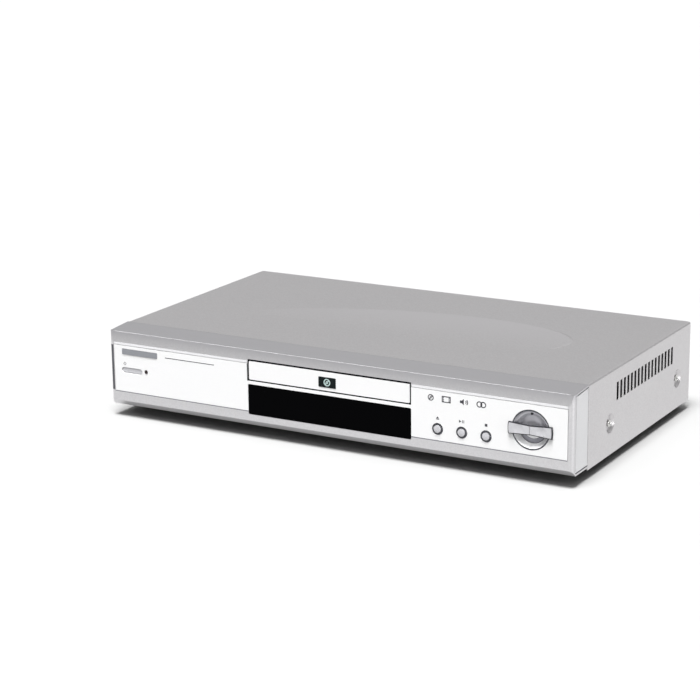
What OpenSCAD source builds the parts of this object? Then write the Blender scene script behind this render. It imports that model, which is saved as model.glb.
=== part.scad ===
// DVD player with a motor-driven disc tray, taken apart into its separate pieces.
// Millimetres. Inside the modules x runs to the right, y runs back from the face of the
// front panel and z runs up from the underside of the case.

/* [Case] */
// Width over the cover
body_w = 430; // [426:2:440]
// Height of the cover without the feet
case_h = 69; // [69:1:74]
// Depth from the face of the front panel to the back of the cover
case_d = 246; // [246:2:260]
// Thickness of the cover and of the rear panel
sheet = 0.8; // [0.6:0.1:1]
// Height of the feet
foot_h = 8; // [6:1:12]
// Diameter of a foot
foot_d = 36; // [32:2:42]
// Height of the raised plateau on the cover
plateau_h = 1; // [0.6:0.1:1.4]
// Number of cooling slots in each side
vent_count = 17; // [9:2:17]

/* [Front panel] */
// Depth of the moulded panel
panel_d = 28; // [27:1:30]
// Width of the bright face plate
face_w = 420.6; // [416:0.2:421]
// Width of the tray door
door_w = 149.4; // [146:0.2:151]
// Height of the tray door
door_h = 15.6; // [14.8:0.2:16]
// Width of the display window
window_w = 151.4; // [146:0.2:152]
// Diameter of a round button
button_d = 6.2; // [5.6:0.2:7]
// Distance between the round buttons
button_pitch = 21.1; // [18:0.1:22]
// Diameter of the skip dish
dish_d = 31; // [29:0.5:32]
// Width over the two skip keys
skip_w = 36.2; // [35:0.2:38]
// How far the skip keys stand out
key_proud = 2; // [1.8:0.1:2.4]
// Travel of a button
press = 0.6; // [0.3:0.1:0.6]

/* [Loader] */
// Width of the disc tray
tray_w = 132; // [130:1:133]
// Travel of the disc tray
tray_travel = 138; // [130:1:140]
// Angle by which the traverse lifts
lift = 4; // [3.6:0.1:4.2]
// Travel of the pickup along its rods
pickup_travel = 34; // [30:1:34]
// Number of teeth of the large tray gear
wheel_teeth = 30; // [28:1:31]

/* [Rear sockets] */
// Reach of the socket barrels behind the cover
jack_reach = 8; // [7:0.5:9]
// Distance between stacked sockets
jack_pitch = 14; // [13:0.5:15]

/* [Clearances] */
// Gap round the tray door
door_gap = 1.2; // [0.8:0.05:1.3]
// Gap round the buttons
reveal = 0.5; // [0.4:0.05:0.6]
// Gap round the face plate and the window
seam = 0.3; // [0.2:0.05:0.4]
// Gap round the end caps
cap_gap = 0.9; // [0.6:0.05:1]
// Radial gap of a running shaft
running = 0.04; // [0.03:0.01:0.06]
// Gap beside a sliding face
slide_gap = 0.3; // [0.25:0.05:0.35]

/* [Hidden] */
$fn = 48;

// Overlap that makes a cut go clean through
eps = 0.01;
hw = body_w / 2;
front_y = -(case_d + jack_reach - key_proud) / 2;

// Sheet metal
bend = 2;
// Width of a pressed dimple at the surface and at its floor
dimple_d = 16.2;
dimple_floor_d = 11.6;
dimple_deep = 2.2;
screw_z = 26;
cover_screw_y = [72, case_d - 28];
flange_x = hw - dimple_deep - sheet;
flange_t = 1;
pan_t = 1;
pan_front = 18;
flange_h = 36;
// Length, width and height of a pressed bead in the floor
bead = [120, 10, 1.2];
bead_y = [70, 150];
// Pitch and width of the slots in the floor
floor_slot = [7, 3];
floor_slot_y = [120, 150];
rear_out = case_d - sheet;
rear_in = case_d - 2 * sheet;
lip_h = 11;
lip_screw_x = [-hw + 35, 0, hw - 35];
lip_screw_z = case_h - 6;
// Half length, half width, middle, turn, taper, first rise and full rise of the raised field
plateau_a = 157;
plateau_b = 65;
plateau_y = 105;
plateau_turn = 12;
plateau_taper = 0.97;
plateau_rise = [100, 174];
cover_gap = 0.15;
vent_pitch = 7.35;
vent_w = 4.4;
vent_low = 41.8;
vent_high = 56.6;
vent_mid = 145;

// Fasteners
screw_d = 2.9;
screw_hole = 3;
head_d = 5.6;
head_h = 1.5;

// Front panel
panel_low = 2;
panel_high = case_h - 1.7;
panel_lean = 1.8;
panel_lip = 2.6;
edge_roll = 0.5;
chamfer = 5;
corner_r = 4;
front_wall = 3.6;
shell = 2.2;
end_wall = 4.2;
cap_t = 2;
cap_rim = 1.5;
plate_t = 1.5;
face_low = 15.4;
face_high = 55.8;
door_low = 42.4;
door_d = 7.5;
door_top_gap = door_gap + 0.3;
window_low = 12.8;
window_high = 38.1;
window_t = 2;
window_ledge = 3.4;
tube_hw = window_w / 2 - 19.7;
tube_low = window_low + 4.2;
tube_high = window_high - 2.1;
tube_y = 5;
button_z = 24.8;
dome = 1.2;
dome_r = 14.6;
dish = [hw - 35.5, 35.4];
dish_deep = 5;
dish_wall = 1.8;
// Radius and depth of the dish from its rim over the groove to its raised middle
dish_form = [
    [dish_d / 2 - 0.4, 0], [dish_d / 2 - 3.7, dish_deep - 0.9], [dish_d / 2 - 5, dish_deep],
    [dish_d / 2 - 7.5, dish_deep - 0.5], [2.5, dish_deep - 1.6], [0, dish_deep - 1.7]
];
key_gap = 0.25;
key_end_h = 8.2;
key_mid_h = 6;
key_stem_x = 9.5;
// The round buttons stand about midway between the window and the dish
button_mid = (window_w / 2 + dish[0] - dish_d / 2) / 2 + 0.65;
button_x = [for (i = [-1:1]) button_mid + i * button_pitch];
power = [-hw + 22.6, 34.4];
power_w = 20;
power_h = 3.8;
power_sunk = 0.6;
lens_xz = [-hw + 37.2, 35.3];
lens_d = 3;

// Front board and the switches behind the buttons
board_y = 14;
board_t = 1.6;
switch_w = 6;
switch_body = 3.5;
switch_tip = 0.7;
stem_end = board_y - switch_body - switch_tip - press - 0.2;
front_boss = [[-hw + 14, 13], [-90, 13], [90, 13], [hw - 14, 13]];
switch_xz = concat(
    [power], [for (x = button_x) [x, button_z]],
    [[dish[0] - key_stem_x, dish[1]], [dish[0] + key_stem_x, dish[1]]]
);

// Boards on the chassis
deck_board_z = 8;
main_x = [84, hw - 9];
main_y = [90, case_d - 8];
supply_x = [-hw + 9, -88];
supply_y = [96, case_d - 8];
board_inset = 6;
top_z = deck_board_z + board_t;
chip_xy = [main_x[0] + 52, main_y[0] + 62];
chip_w = 28;
chip_t = 2.6;
sink_w = 26;
sink_base = 2;
sink_h = 12;
fin_t = 1.4;
transformer_xy = [supply_x[1] - 60, supply_y[0] + 64];
core = [38, 18, 27];
bobbin = [32, 30, 4];
coil = [24, 28, 19];
heat_sink_xy = [supply_x[1] - 92, supply_y[0] + 32];
heat_sink = [3, 64, 32];
heat_fin = [9.6, 1.6];
// Can capacitors as [x, y, diameter, height]
cans = [
    [main_x[0] + 18, main_y[0] + 34, 8, 12], [main_x[0] + 18, main_y[0] + 45, 8, 12],
    [main_x[1] - 20, main_y[0] + 28, 6.3, 11], [main_x[1] - 20, main_y[0] + 38, 6.3, 11],
    [main_x[1] - 20, main_y[0] + 86, 8, 12], [supply_x[1] - 24, supply_y[0] + 80, 18, 30],
    [supply_x[1] - 16, supply_y[0] + 22, 10, 16], [supply_x[1] - 29, supply_y[0] + 22, 10, 16],
    [supply_x[1] - 42, supply_y[0] + 22, 8, 12]
];
ribbon_t = 0.4;
wire_d = 1.3;
wire_pitch = 1.6;

// Rear sockets
rca_d = 8.3;
rca_bore = 6.4;
rca_pin = 3.2;
jack_low = 20;
audio_x = hw - 23;
video_x = audio_x - 18;
component_x = video_x - 18;
jacks = concat(
    [for (x = [audio_x, video_x], i = [0, 1]) [x, jack_low + i * jack_pitch]],
    [for (i = [0:2]) [component_x, jack_low + i * jack_pitch]]
);
jack_block_d = 12;
s_video = [component_x - 19, 27];
optical = [component_x - 42, 26];
optical_w = 8;
optical_deep = 11;
shutter_t = 1;
shutter_y = case_d - 1.2;
shutter_z = 3;
hinge_d = 1.1;
inlet = [-hw + 30, 21];
inlet_gap = 8.2;

// Loader heights follow the tray, which passes through the door's slot
tray_low = door_low + 5.1;
tray_top = tray_low + 6.5;
disc_floor = tray_low + 4;
small_floor = tray_low + 2.3;
disc_d = 120;
small_disc_d = 80;
disc_y = 76;
tray_front = door_d;
tray_back = 190;
slot_hw = 27;
slot_front = 54;
slot_back = 150;
rack_h = 4.7;
frame_z = 9;
frame_t = 2;
frame_front = 24;
frame_back = 200;
wall_in = tray_w / 2 + 0.7;
wall_t = 2.3;
wall_out = wall_in + wall_t;
wall_top = tray_top + 3;
ear_x = wall_out + 6;
ear_y = [44, 180];
bridge_t = 2;
bridge_hole = 24;
loader_link_y = [184, 196];
front_link = [main_x[0] + 2, main_x[0] + 20];
harness_y = [frame_back + 5, frame_back + 16];
harness_x = [supply_x[1] - 14, main_x[0] + 12];

// Gear train, all shafts upright
gear_module = 1;
backlash = 0.3;
pinion_teeth = 12;
train_y = 33;
tray_gear_x = 38;
pinion_r = gear_module * pinion_teeth / 2;
rack_pitch = PI * gear_module;
rack_teeth = ceil((tray_travel + 11) / rack_pitch);
rack_x = tray_gear_x + pinion_r;
mesh_gap = gear_module * (wheel_teeth + pinion_teeth) / 2;
pulley_x = tray_gear_x - mesh_gap;
motor_x = pulley_x - 37;
shaft_d = 4;
wheel_low = tray_low - 14.5;
wheel_t = 3.5;
pinion_low = tray_low - 4.5;
pinion_t = 4;
pulley_low = wheel_low - 6.5;
pulley_t = 5;
belt_z = pulley_low + pulley_t / 2;
belt_w = 1.6;
belt_gap = 0.25;
pulley_belt_r = 12.6;
motor_belt_r = 3.6;
motor_shaft_d = 2;
motor_low = frame_z + frame_t;
motor_h = 14;

// Traverse, given here level; it lies lowered about its rear pivot
deck = tray_low - 9.5;
deck_t = 2;
pivot_y = 180;
pivot_z = deck + deck_t / 2;
pivot_d = 4;
pivot_x = 44;
post_t = 4.6;
deck_front = 56;
deck_back = 176;
deck_hw = 36;
cam_y = 52;
cam_t = 3;
cam_pin_d = 3;
cam_travel = 30;
cam_rise = (pivot_y - cam_y - cam_t / 2) * sin(lift);
cam_low = frame_z + frame_t + 11;
cam_high = tray_low - 5.2;
spindle_d = 24;
spindle_h = 10;
seat_z = disc_floor + 1.5;
rod_d = 3;
rod_x = 19;
rod_z = deck - 2.5;
rod_ends = [86, 161];
lens_y = disc_y + 24;
sled_hw = 25;
sled_front = lens_y - 9;
sled_back = lens_y + 22;
sled_low = deck - 5;
sled_top = deck + 9;
feed_module = 0.6;
feed_backlash = 0.2;
feed_pinion_teeth = 10;
feed_wheel_teeth = 36;
feed_rack_teeth = 14;
feed_rack_x = 27.4;
feed_r = feed_module * feed_rack_teeth / 2;
feed_x = feed_rack_x + feed_r;
feed_y = 118;
feed_motor_x = feed_x + feed_module * (feed_wheel_teeth + feed_pinion_teeth) / 2;
feed_shaft_d = 2.5;
feed_motor_d = 15;

// Helpers

module box(low, high) {
    translate(low) cube(high - low);
}

module along_x(p, d, l) {
    translate(p) rotate([0, 90, 0]) cylinder(d = d, h = l);
}

module along_y(p, d, l) {
    translate(p) rotate([-90, 0, 0]) cylinder(d = d, h = l);
}

module both_sides() {
    children();
    mirror([1, 0, 0]) children();
}

// Extrudes a (y, z) outline along x
module x_extrude(x0, x1) {
    translate([x0, 0, 0]) rotate([90, 0, 90]) linear_extrude(x1 - x0) children();
}

// Extrudes an (x, z) outline along y
module y_extrude(y0, y1) {
    translate([0, y1, 0]) rotate([90, 0, 0]) linear_extrude(y1 - y0) children();
}

module rounded(w, h, r) {
    square([w - 2 * r, h], center = true);
    square([w, h - 2 * r], center = true);
    for (x = [-1, 1], y = [-1, 1]) translate([x * (w / 2 - r), y * (h / 2 - r)]) circle(r);
}

// Pan-head screw at p whose head lies above p along local z
module screw(length, shank = screw_d) {
    difference() {
        cylinder(d = head_d, h = head_h);
        translate([0, 0, head_h - 0.7]) for (a = [0, 90]) rotate(a)
            translate([-1.6, -0.3, 0]) cube([3.2, 0.6, 1]);
    }
    translate([0, 0, -length]) cylinder(d = shank, h = length + eps);
}

// Lays the level traverse down about its pivot
module lowered() {
    translate([0, pivot_y, pivot_z]) rotate([lift, 0, 0]) translate([0, -pivot_y, -pivot_z]) children();
}

// Involute gears and racks

function polar(r, a) = [r * cos(a), r * sin(a)];

// Roll-off of the involute at radius r, in degrees
function involute(base, r) =
    let (t = sqrt(max(0, pow(r / base, 2) - 1)))
    t * 180 / PI - atan(t);

module gear(teeth, m, play) {
    pitch_r = teeth * m / 2;
    base_r = pitch_r * cos(20);
    root_r = pitch_r - 1.25 * m;
    tip_r = pitch_r + 0.85 * m;
    start_r = max(root_r, base_r);
    half = (PI * m / 2 - play / 2) / (2 * pitch_r) * 180 / PI;
    flank = [for (k = [0:3]) let (r = start_r + (tip_r - start_r) * k / 3)
        [r, half + involute(base_r, pitch_r) - involute(base_r, r)]];
    polygon([for (i = [0:teeth - 1]) let (a = i * 360 / teeth) each concat(
        [polar(root_r, a - flank[0][1] - 1)],
        [for (f = flank) polar(f[0], a - f[1])],
        [for (k = [3:-1:0]) polar(flank[k][0], a + flank[k][1])],
        [polar(root_r, a + flank[0][1] + 1)]
    )]);
}

// Rack along x from 0 with its teeth towards +y, the pitch line at y = 0 and a gap at x = 0
module rack(teeth, m, play, back) {
    pitch = PI * m;
    half = pitch / 4 - play / 4;
    tip = half - 0.85 * m * tan(20);
    root = half + 1.1 * m * tan(20);
    polygon(concat(
        [[0, -back]],
        [for (i = [0:teeth - 1]) let (c = (i + 0.5) * pitch) each [
            [c - root, -1.1 * m], [c - tip, 0.85 * m], [c + tip, 0.85 * m], [c + root, -1.1 * m]
        ]],
        [[teeth * pitch, -back]]
    ));
}

// Case

module cover_outline(inset) {
    r = bend - inset;
    w = hw - inset;
    h = case_h - inset;
    translate([-w, -inset]) square([2 * w, h - r + inset]);
    translate([-w + r, -inset]) square([2 * (w - r), h + inset]);
    for (x = [-1, 1]) translate([x * (w - r), h - r]) circle(r);
}

// Oval field that rises out of the cover towards the back
module plateau() {
    run = (plateau_rise[1] - plateau_rise[0]) / plateau_h;
    intersection() {
        translate([0, plateau_y, 0]) rotate(plateau_turn)
            linear_extrude(height = plateau_h, scale = plateau_taper)
                polygon([for (a = [0:6:354]) [plateau_a * cos(a), plateau_b * sin(a)]]);
        x_extrude(-hw, hw)
            polygon([[plateau_rise[0] - run, -1], [case_d, (case_d - plateau_rise[0]) / run], [case_d, -1]]);
    }
}

// Axis of each side screw, with local z out of the case
module at_cover_screws() {
    for (s = [-1, 1], y = cover_screw_y) translate([s * hw, y, screw_z]) rotate([0, s * 90, 0]) children();
}

module at_lip_screws() {
    for (x = lip_screw_x) translate([x, case_d, lip_screw_z]) rotate([-90, 0, 0]) children();
}

module top_cover() color("#b4b4b6") difference() {
    union() {
        difference() {
            union() {
                y_extrude(panel_d + cover_gap, case_d) cover_outline(0);
                translate([0, 0, case_h - eps]) plateau();
            }
            y_extrude(panel_d, case_d + 1) cover_outline(sheet);
            translate([0, 0, case_h - sheet - eps]) plateau();
        }
        box([-hw + bend, rear_out, case_h - lip_h], [hw - bend, case_d, case_h - sheet / 2]);
        at_cover_screws() translate([0, 0, -dimple_deep - sheet])
            cylinder(d1 = dimple_floor_d + 2 * sheet, d2 = dimple_d + 2 * sheet, h = dimple_deep);
    }
    at_cover_screws() {
        translate([0, 0, -dimple_deep])
            cylinder(d1 = dimple_floor_d, d2 = dimple_d, h = dimple_deep + eps);
        translate([0, 0, -5]) cylinder(d = screw_hole + 0.4, h = 6);
    }
    at_lip_screws() translate([0, 0, -sheet - 1]) cylinder(d = screw_hole + 0.4, h = sheet + 2);
    for (i = [0:vent_count - 1]) let (y = vent_mid + (i - (vent_count - 1) / 2) * vent_pitch)
        box([-hw - 1, y - vent_w / 2, vent_low], [hw + 1, y + vent_w / 2, vent_high]);
}

module at_feet() {
    for (x = [-1, 1], y = [46, case_d - 40]) translate([x * (hw - 46), y, 0]) children();
}

module at_main_posts() {
    for (x = [main_x[0] + board_inset, main_x[1] - board_inset])
        for (y = [main_y[0] + board_inset, main_y[1] - 22]) translate([x, y, 0]) children();
}

module at_supply_posts() {
    for (x = [supply_x[0] + board_inset, supply_x[1] - board_inset])
        for (y = [supply_y[0] + board_inset, supply_y[1] - 26]) translate([x, y, 0]) children();
}

module at_ears() {
    for (x = [-ear_x, ear_x], y = ear_y) translate([x, y, 0]) children();
}

module bottom_chassis() color("#9a9d9f") difference() {
    union() {
        box([-flange_x, pan_front, 0], [flange_x, rear_in, pan_t]);
        both_sides() box([flange_x - flange_t, panel_d + 2, 0], [flange_x, rear_in, flange_h]);
        box([-flange_x + 8, panel_d + seam, 0], [flange_x - 8, panel_d + seam + pan_t, 8 - eps]);
        box([-flange_x + 8, rear_in - pan_t, 0], [flange_x - 8, rear_in, 7]);
        at_main_posts() cylinder(d1 = 9, d2 = 7, h = deck_board_z);
        at_supply_posts() cylinder(d1 = 9, d2 = 7, h = deck_board_z);
        at_ears() cylinder(d1 = 11, d2 = 8, h = frame_z);
        for (y = bead_y) box([-bead[0] / 2, y, 0], [bead[0] / 2, y + bead[1], bead[2] + pan_t]);
    }
    for (y = bead_y) let (x = bead[0] / 2 - bead[2])
        box([-x, y + bead[2], -1], [x, y + bead[1] - bead[2], bead[2]]);
    at_main_posts() translate([0, 0, -1]) cylinder(d = screw_hole, h = deck_board_z + 2);
    at_supply_posts() translate([0, 0, -1]) cylinder(d = screw_hole, h = deck_board_z + 2);
    at_ears() translate([0, 0, -1]) cylinder(d = screw_hole, h = frame_z + 2);
    at_feet() translate([0, 0, -1]) cylinder(d = 8.4, h = 4);
    at_cover_screws() translate([0, 0, -9]) cylinder(d = screw_hole, h = 9);
    for (x0 = [-hw + 50, hw - 90], i = [0:7]) let (x = x0 + i * floor_slot[0])
        box([x, floor_slot_y[0], -1], [x + floor_slot[1], floor_slot_y[1], 2]);
}

module at_jacks() {
    for (j = jacks) translate([j[0], rear_in, j[1]]) rotate([-90, 0, 0]) children();
}

module obround(w, h) {
    square([w - h, h], center = true);
    for (x = [-1, 1]) translate([x * (w - h) / 2, 0]) circle(d = h);
}

module rear_panel() color("#8d9092") difference() {
    box([-hw + sheet + 0.4, rear_in, 0], [hw - sheet - 0.4, rear_out, case_h - sheet - 0.3]);
    at_jacks() translate([0, 0, -1]) cylinder(d = rca_d + 1, h = 4);
    along_y([s_video[0], rear_in - 1, s_video[1]], 12.6, 4);
    box([optical[0] - 5.6, rear_in - 1, optical[1] - 5.6], [optical[0] + 5.6, case_d, optical[1] + 5.6]);
    translate([inlet[0], 0, inlet[1]]) y_extrude(rear_in - 1, case_d) obround(20.4, 12.2);
    at_lip_screws() translate([0, 0, -9]) cylinder(d = screw_hole, h = 10);
    for (i = [0:11]) box([-130 + i * 8, rear_in - 1, 26], [-126 + i * 8, case_d, 50]);
}

module feet() color("#3b3d40") at_feet() {
    rotate_extrude() polygon([
        [0, 4], [0, -foot_h + 1.4], [foot_d / 2 - 6, -foot_h + 1.4], [foot_d / 2 - 5, -foot_h],
        [foot_d / 2 - 2.4, -foot_h], [foot_d / 2 - 1, -foot_h + 1.6], [foot_d / 2, 0], [4, 0], [4, 4]
    ]);
}

module cover_screws() color("#c8c8c6") {
    at_cover_screws() translate([0, 0, -dimple_deep]) screw(6);
    at_lip_screws() screw(6);
}

// Front panel

// Point that lies reach away from one point on the way to another
function along(from, to, reach) = from + reach * (to - from) / norm(to - from);

// Outline of the panel from the side, drawn in by inset, with its upper front edge rolled
module panel_section(inset) {
    k = inset * 0.4;
    brow = [inset, face_high + panel_lip];
    edge = [panel_lean + inset, panel_high - inset];
    rear = [panel_d + 1, panel_high + (case_h - panel_high) * (panel_d + 1) / panel_d - inset];
    low = along(edge, brow, edge_roll);
    high = along(edge, rear, edge_roll);
    rolled = [for (u = [0:0.25:1]) pow(1 - u, 2) * low + 2 * u * (1 - u) * edge + u * u * high];
    under = [[panel_d + 1, panel_low + inset], [chamfer + k, panel_low + inset]];
    polygon(concat(under, [[inset, panel_low + chamfer + k], brow], rolled, [rear]));
}

module panel_plan() {
    translate([-hw, corner_r]) square([body_w, panel_d - corner_r]);
    translate([-hw + corner_r, 0]) square([body_w - 2 * corner_r, corner_r + eps]);
    for (x = [-1, 1]) translate([x * (hw - corner_r), corner_r]) circle(corner_r);
}

// Openings shared by the panel and the face plate
module front_openings() {
    y_extrude(-1, 20) {
        translate([-door_w / 2 - door_gap, door_low - door_gap])
            square([door_w + 2 * door_gap, door_h + door_gap + door_top_gap]);
        for (x = button_x) translate([x, button_z]) circle(d = button_d + 2 * reveal);
        translate(dish) circle(d = dish_d + seam);
        translate(power) obround(power_w + 2 * reveal, power_h + 2 * reveal);
        translate(lens_xz) circle(d = lens_d + 0.2);
    }
}

module window_outline(grow) {
    translate([0, (window_low + window_high) / 2])
        rounded(window_w + 2 * grow, window_high - window_low + 2 * grow, 1.2);
}

module end_outline(inset) {
    difference() {
        panel_section(inset);
        translate([-1, 0]) square([corner_r + inset + 0.4, case_h]);
        translate([panel_d, 0]) square([5, case_h + 5]);
    }
}

module front_bezel() color("#c9c9cc") difference() {
    union() {
        difference() {
            intersection() {
                x_extrude(-hw, hw) panel_section(0);
                linear_extrude(case_h + 1) panel_plan();
            }
            intersection() {
                x_extrude(-hw + end_wall, hw - end_wall) panel_section(shell);
                box([-hw, front_wall, 0], [hw, panel_d + 1, case_h]);
            }
        }
        box([-hw + 14, panel_d - 3, case_h - shell], [hw - 14, panel_d + 6, case_h - sheet - 0.2]);
        for (x = [-150, 0, 150]) box([x - 9, pan_front + 2, pan_t], [x + 9, panel_d - 2, panel_low + 1]);
        for (b = front_boss) along_y([b[0], front_wall - 1, b[1]], 6, board_y - front_wall + 1);
    }
    front_openings();
    box([-face_w / 2 - seam, -1, face_low - seam], [face_w / 2 + seam, plate_t, face_high + seam]);
    y_extrude(-1, window_t) window_outline(seam);
    y_extrude(-1, 20) window_outline(-window_ledge);
    for (b = front_boss) along_y([b[0], board_y - 8, b[1]], screw_hole, 9);
    x_extrude(hw - cap_t, hw + 1) end_outline(cap_rim);
    x_extrude(-hw - 1, -hw + cap_t) end_outline(cap_rim);
}

module end_caps() color("#d9d8d3") both_sides()
    x_extrude(hw - cap_t, hw - 0.2) end_outline(cap_rim + cap_gap);

module fascia_plate() color("#f3f3f4") difference() {
    box([-face_w / 2, 0, face_low], [face_w / 2, plate_t, face_high]);
    front_openings();
    y_extrude(-1, 5) window_outline(seam);
}

module display_window() color("#08080c") y_extrude(0, window_t) window_outline(0);

module tray_door() color("#f0f0f1") difference() {
    y_extrude(0, door_d) translate([0, door_low + door_h / 2]) rounded(door_w, door_h, 0.8);
    for (x = [-1, 0, 1]) translate([x * 49, 0, 0])
        box([-22, 2.2, door_low + 2], [22, door_d + 1, door_low + door_h - 2]);
}

// Round cap with a domed front, a collar behind the panel wall and a stem, pressing along +y
module round_button(x) {
    intersection() {
        along_y([x, -dome, button_z], button_d, front_wall + dome + 0.6);
        translate([x, dome_r - dome, button_z]) sphere(r = dome_r);
    }
    along_y([x, front_wall + slide_gap, button_z], button_d + 2.6, 1);
    along_y([x, front_wall, button_z], 4, stem_end - front_wall);
}

module open_button() color("#d6d6da") round_button(button_x[0]);

module play_button() color("#d6d6da") round_button(button_x[1]);

module stop_button() color("#d6d6da") round_button(button_x[2]);

module power_button() color("#b9b9be") translate([power[0], 0, power[1]]) {
    y_extrude(power_sunk, front_wall + 0.6) obround(power_w, power_h);
    y_extrude(front_wall + slide_gap, front_wall + slide_gap + 1) obround(power_w + 3, power_h + 3);
    along_y([0, front_wall, 0], 4, stem_end - front_wall);
}

module standby_lens() color("#5a1512") {
    along_y([lens_xz[0], -0.4, lens_xz[1]], lens_d, board_y - 2 + 0.4);
    along_y([lens_xz[0], front_wall, lens_xz[1]], lens_d + 2, 1);
}

// Dish with a steep rim, a groove and a raised middle, seen along +y
module skip_dish() color("#e4e4e6") translate([dish[0], 0, dish[1]]) difference() {
    union() {
        along_y([0, 0, 0], dish_d, dish_deep + dish_wall);
        along_y([0, front_wall, 0], dish_d + 4, 1.4);
    }
    rotate([-90, 0, 0]) rotate_extrude()
        polygon(concat([[0, -1], [dish_form[0][0], -1]], dish_form));
    for (x = [-1, 1]) along_y([x * key_stem_x, 0, 0], 5, 20);
}

// Half of the bow-tie across the dish, with its stem, on the +x side
module skip_key() {
    difference() {
        y_extrude(-key_proud, -0.9) intersection() {
            polygon([
                [key_gap, key_mid_h / 2], [skip_w / 2, key_end_h / 2],
                [skip_w / 2, -key_end_h / 2], [key_gap, -key_mid_h / 2]
            ]);
            circle(d = skip_w, $fn = 96);
        }
        translate([key_stem_x, -key_proud - 17.5, 0]) sphere(r = 18, $fn = 96);
    }
    along_y([key_stem_x, -1.2, 0], 4.4, stem_end + 1.2);
}

module skip_back_key() color("#cfcfd3") translate([dish[0], 0, dish[1]]) mirror([1, 0, 0]) skip_key();

module skip_forward_key() color("#cfcfd3") translate([dish[0], 0, dish[1]]) skip_key();

// Front board

module front_board() color("#3f6b3a") {
    difference() {
        box([-hw + 8, board_y, 9], [hw - 8, board_y + board_t, 39]);
        for (b = front_boss) along_y([b[0], board_y - 1, b[1]], screw_hole, 4);
    }
    along_y([lens_xz[0], board_y - 2, lens_xz[1]], lens_d, 2 + eps);
}

module display_tube() color("#27323a") {
    box([-tube_hw, tube_y, tube_low], [tube_hw, tube_y + 3, tube_high]);
    box([-tube_hw - 2, tube_y + 3 - eps, tube_low - 1.5], [tube_hw + 2, board_y, tube_high + 1.5]);
}

module tact_switches() color("#2b2b2e") for (s = switch_xz) translate([s[0], board_y, s[1]]) {
    box([-switch_w / 2, -switch_body, -switch_w / 2], [switch_w / 2, 0, switch_w / 2]);
    along_y([0, -switch_body - switch_tip, 0], 3.2, switch_tip + eps);
}

// Boards on the chassis

module plain_board(xs, ys) {
    box([xs[0], ys[0], deck_board_z], [xs[1], ys[1], deck_board_z + board_t]);
}

module main_board() color("#2f6a3c") difference() {
    plain_board(main_x, main_y);
    at_main_posts() cylinder(d = screw_hole, h = 20);
}

module power_board() color("#b08a4c") difference() {
    plain_board(supply_x, supply_y);
    at_supply_posts() cylinder(d = screw_hole, h = 20);
}

module decoder_chips() color("#1b1b1d") translate([chip_xy[0], chip_xy[1], top_z]) {
    box([-chip_w / 2, -chip_w / 2, 0], [chip_w / 2, chip_w / 2, chip_t]);
    for (x = [-26, 26]) box([x - 6, -11, 0], [x + 6, 11, 1.2]);
    box([-10, 26, 0], [10, 36, 1.2]);
    box([-8, -36, 0], [8, -26, 1.6]);
}

module chip_heat_sink() color("#a9adb0") translate([chip_xy[0], chip_xy[1], top_z + chip_t]) {
    r = sink_w / 2;
    box([-r, -r, 0], [r, r, sink_base]);
    for (i = [0:6]) let (x = -r + i * (sink_w - fin_t) / 6) box([x, -r, 0], [x + fin_t, r, sink_h]);
}

module capacitors() color("#23324f") for (c = cans) translate([c[0], c[1], top_z]) rotate_extrude()
    polygon([
        [0, 0], [c[2] / 2, 0], [c[2] / 2, 1.2], [c[2] / 2 - 0.5, 1.8], [c[2] / 2, 2.4],
        [c[2] / 2, c[3] - 0.6], [c[2] / 2 - 0.6, c[3]], [0, c[3]]
    ]);

module board_connectors() color("#e8e4d8") {
    box([front_link[0], main_y[0] + 10, top_z], [front_link[1], main_y[0] + 15, top_z + 6]);
    box([front_link[0], board_y + board_t, 22], [front_link[1], board_y + board_t + 4, 28]);
    box([main_x[0] + 8, loader_link_y[0] - 1, top_z], [main_x[0] + 13, loader_link_y[1] + 1, top_z + 6]);
    box([wall_in - 10, loader_link_y[0] - 1, motor_low], [wall_in - 5, loader_link_y[1] + 1, motor_low + 5]);
    box([harness_x[0] - 6, harness_y[0], top_z], [harness_x[0], harness_y[1], top_z + 7]);
    box([harness_x[1], harness_y[0], top_z], [harness_x[1] + 6, harness_y[1], top_z + 7]);
}

// Flat strip of thickness t along a path
module strip(path, t) {
    polygon(concat(path, [for (i = [len(path) - 1:-1:0]) path[i] + [0, t]]));
}

module front_ribbon() color("#e9e9e2") x_extrude(front_link[0] + 2, front_link[1] - 2) strip([
    [board_y + board_t + 4, 25], [28, 25], [44, 16], [main_y[0] - 6, 13], [main_y[0] + 10, 12.5]
], ribbon_t);

module loader_ribbon() color("#e9e9e2") y_extrude(loader_link_y[0], loader_link_y[1]) strip([
    [wall_in - 5, 13.6], [wall_in + 8, 13.6], [main_x[0], 12.6], [main_x[0] + 8, 12.6]
], ribbon_t);

module power_harness() color("#c9c3b4") {
    span = harness_x[1] - harness_x[0];
    sag = [for (i = [0:16]) let (t = i / 16) [harness_x[0] + span * t, top_z + 4 - 20 * t * (1 - t)]];
    for (i = [0:5]) let (y = harness_y[0] + 1 + i * wire_pitch) y_extrude(y, y + wire_d) strip(sag, wire_d);
}

module transformer() color("#4a4038") translate([transformer_xy[0], transformer_xy[1], top_z]) {
    box([-bobbin[0] / 2, -bobbin[1] / 2, 0], [bobbin[0] / 2, bobbin[1] / 2, bobbin[2]]);
    box([-core[0] / 2, -core[1] / 2, bobbin[2] - eps], [core[0] / 2, core[1] / 2, core[2]]);
    y_extrude(-coil[1] / 2, coil[1] / 2)
        translate([0, (bobbin[2] + core[2]) / 2]) rounded(coil[0], coil[2], 3);
}

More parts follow.
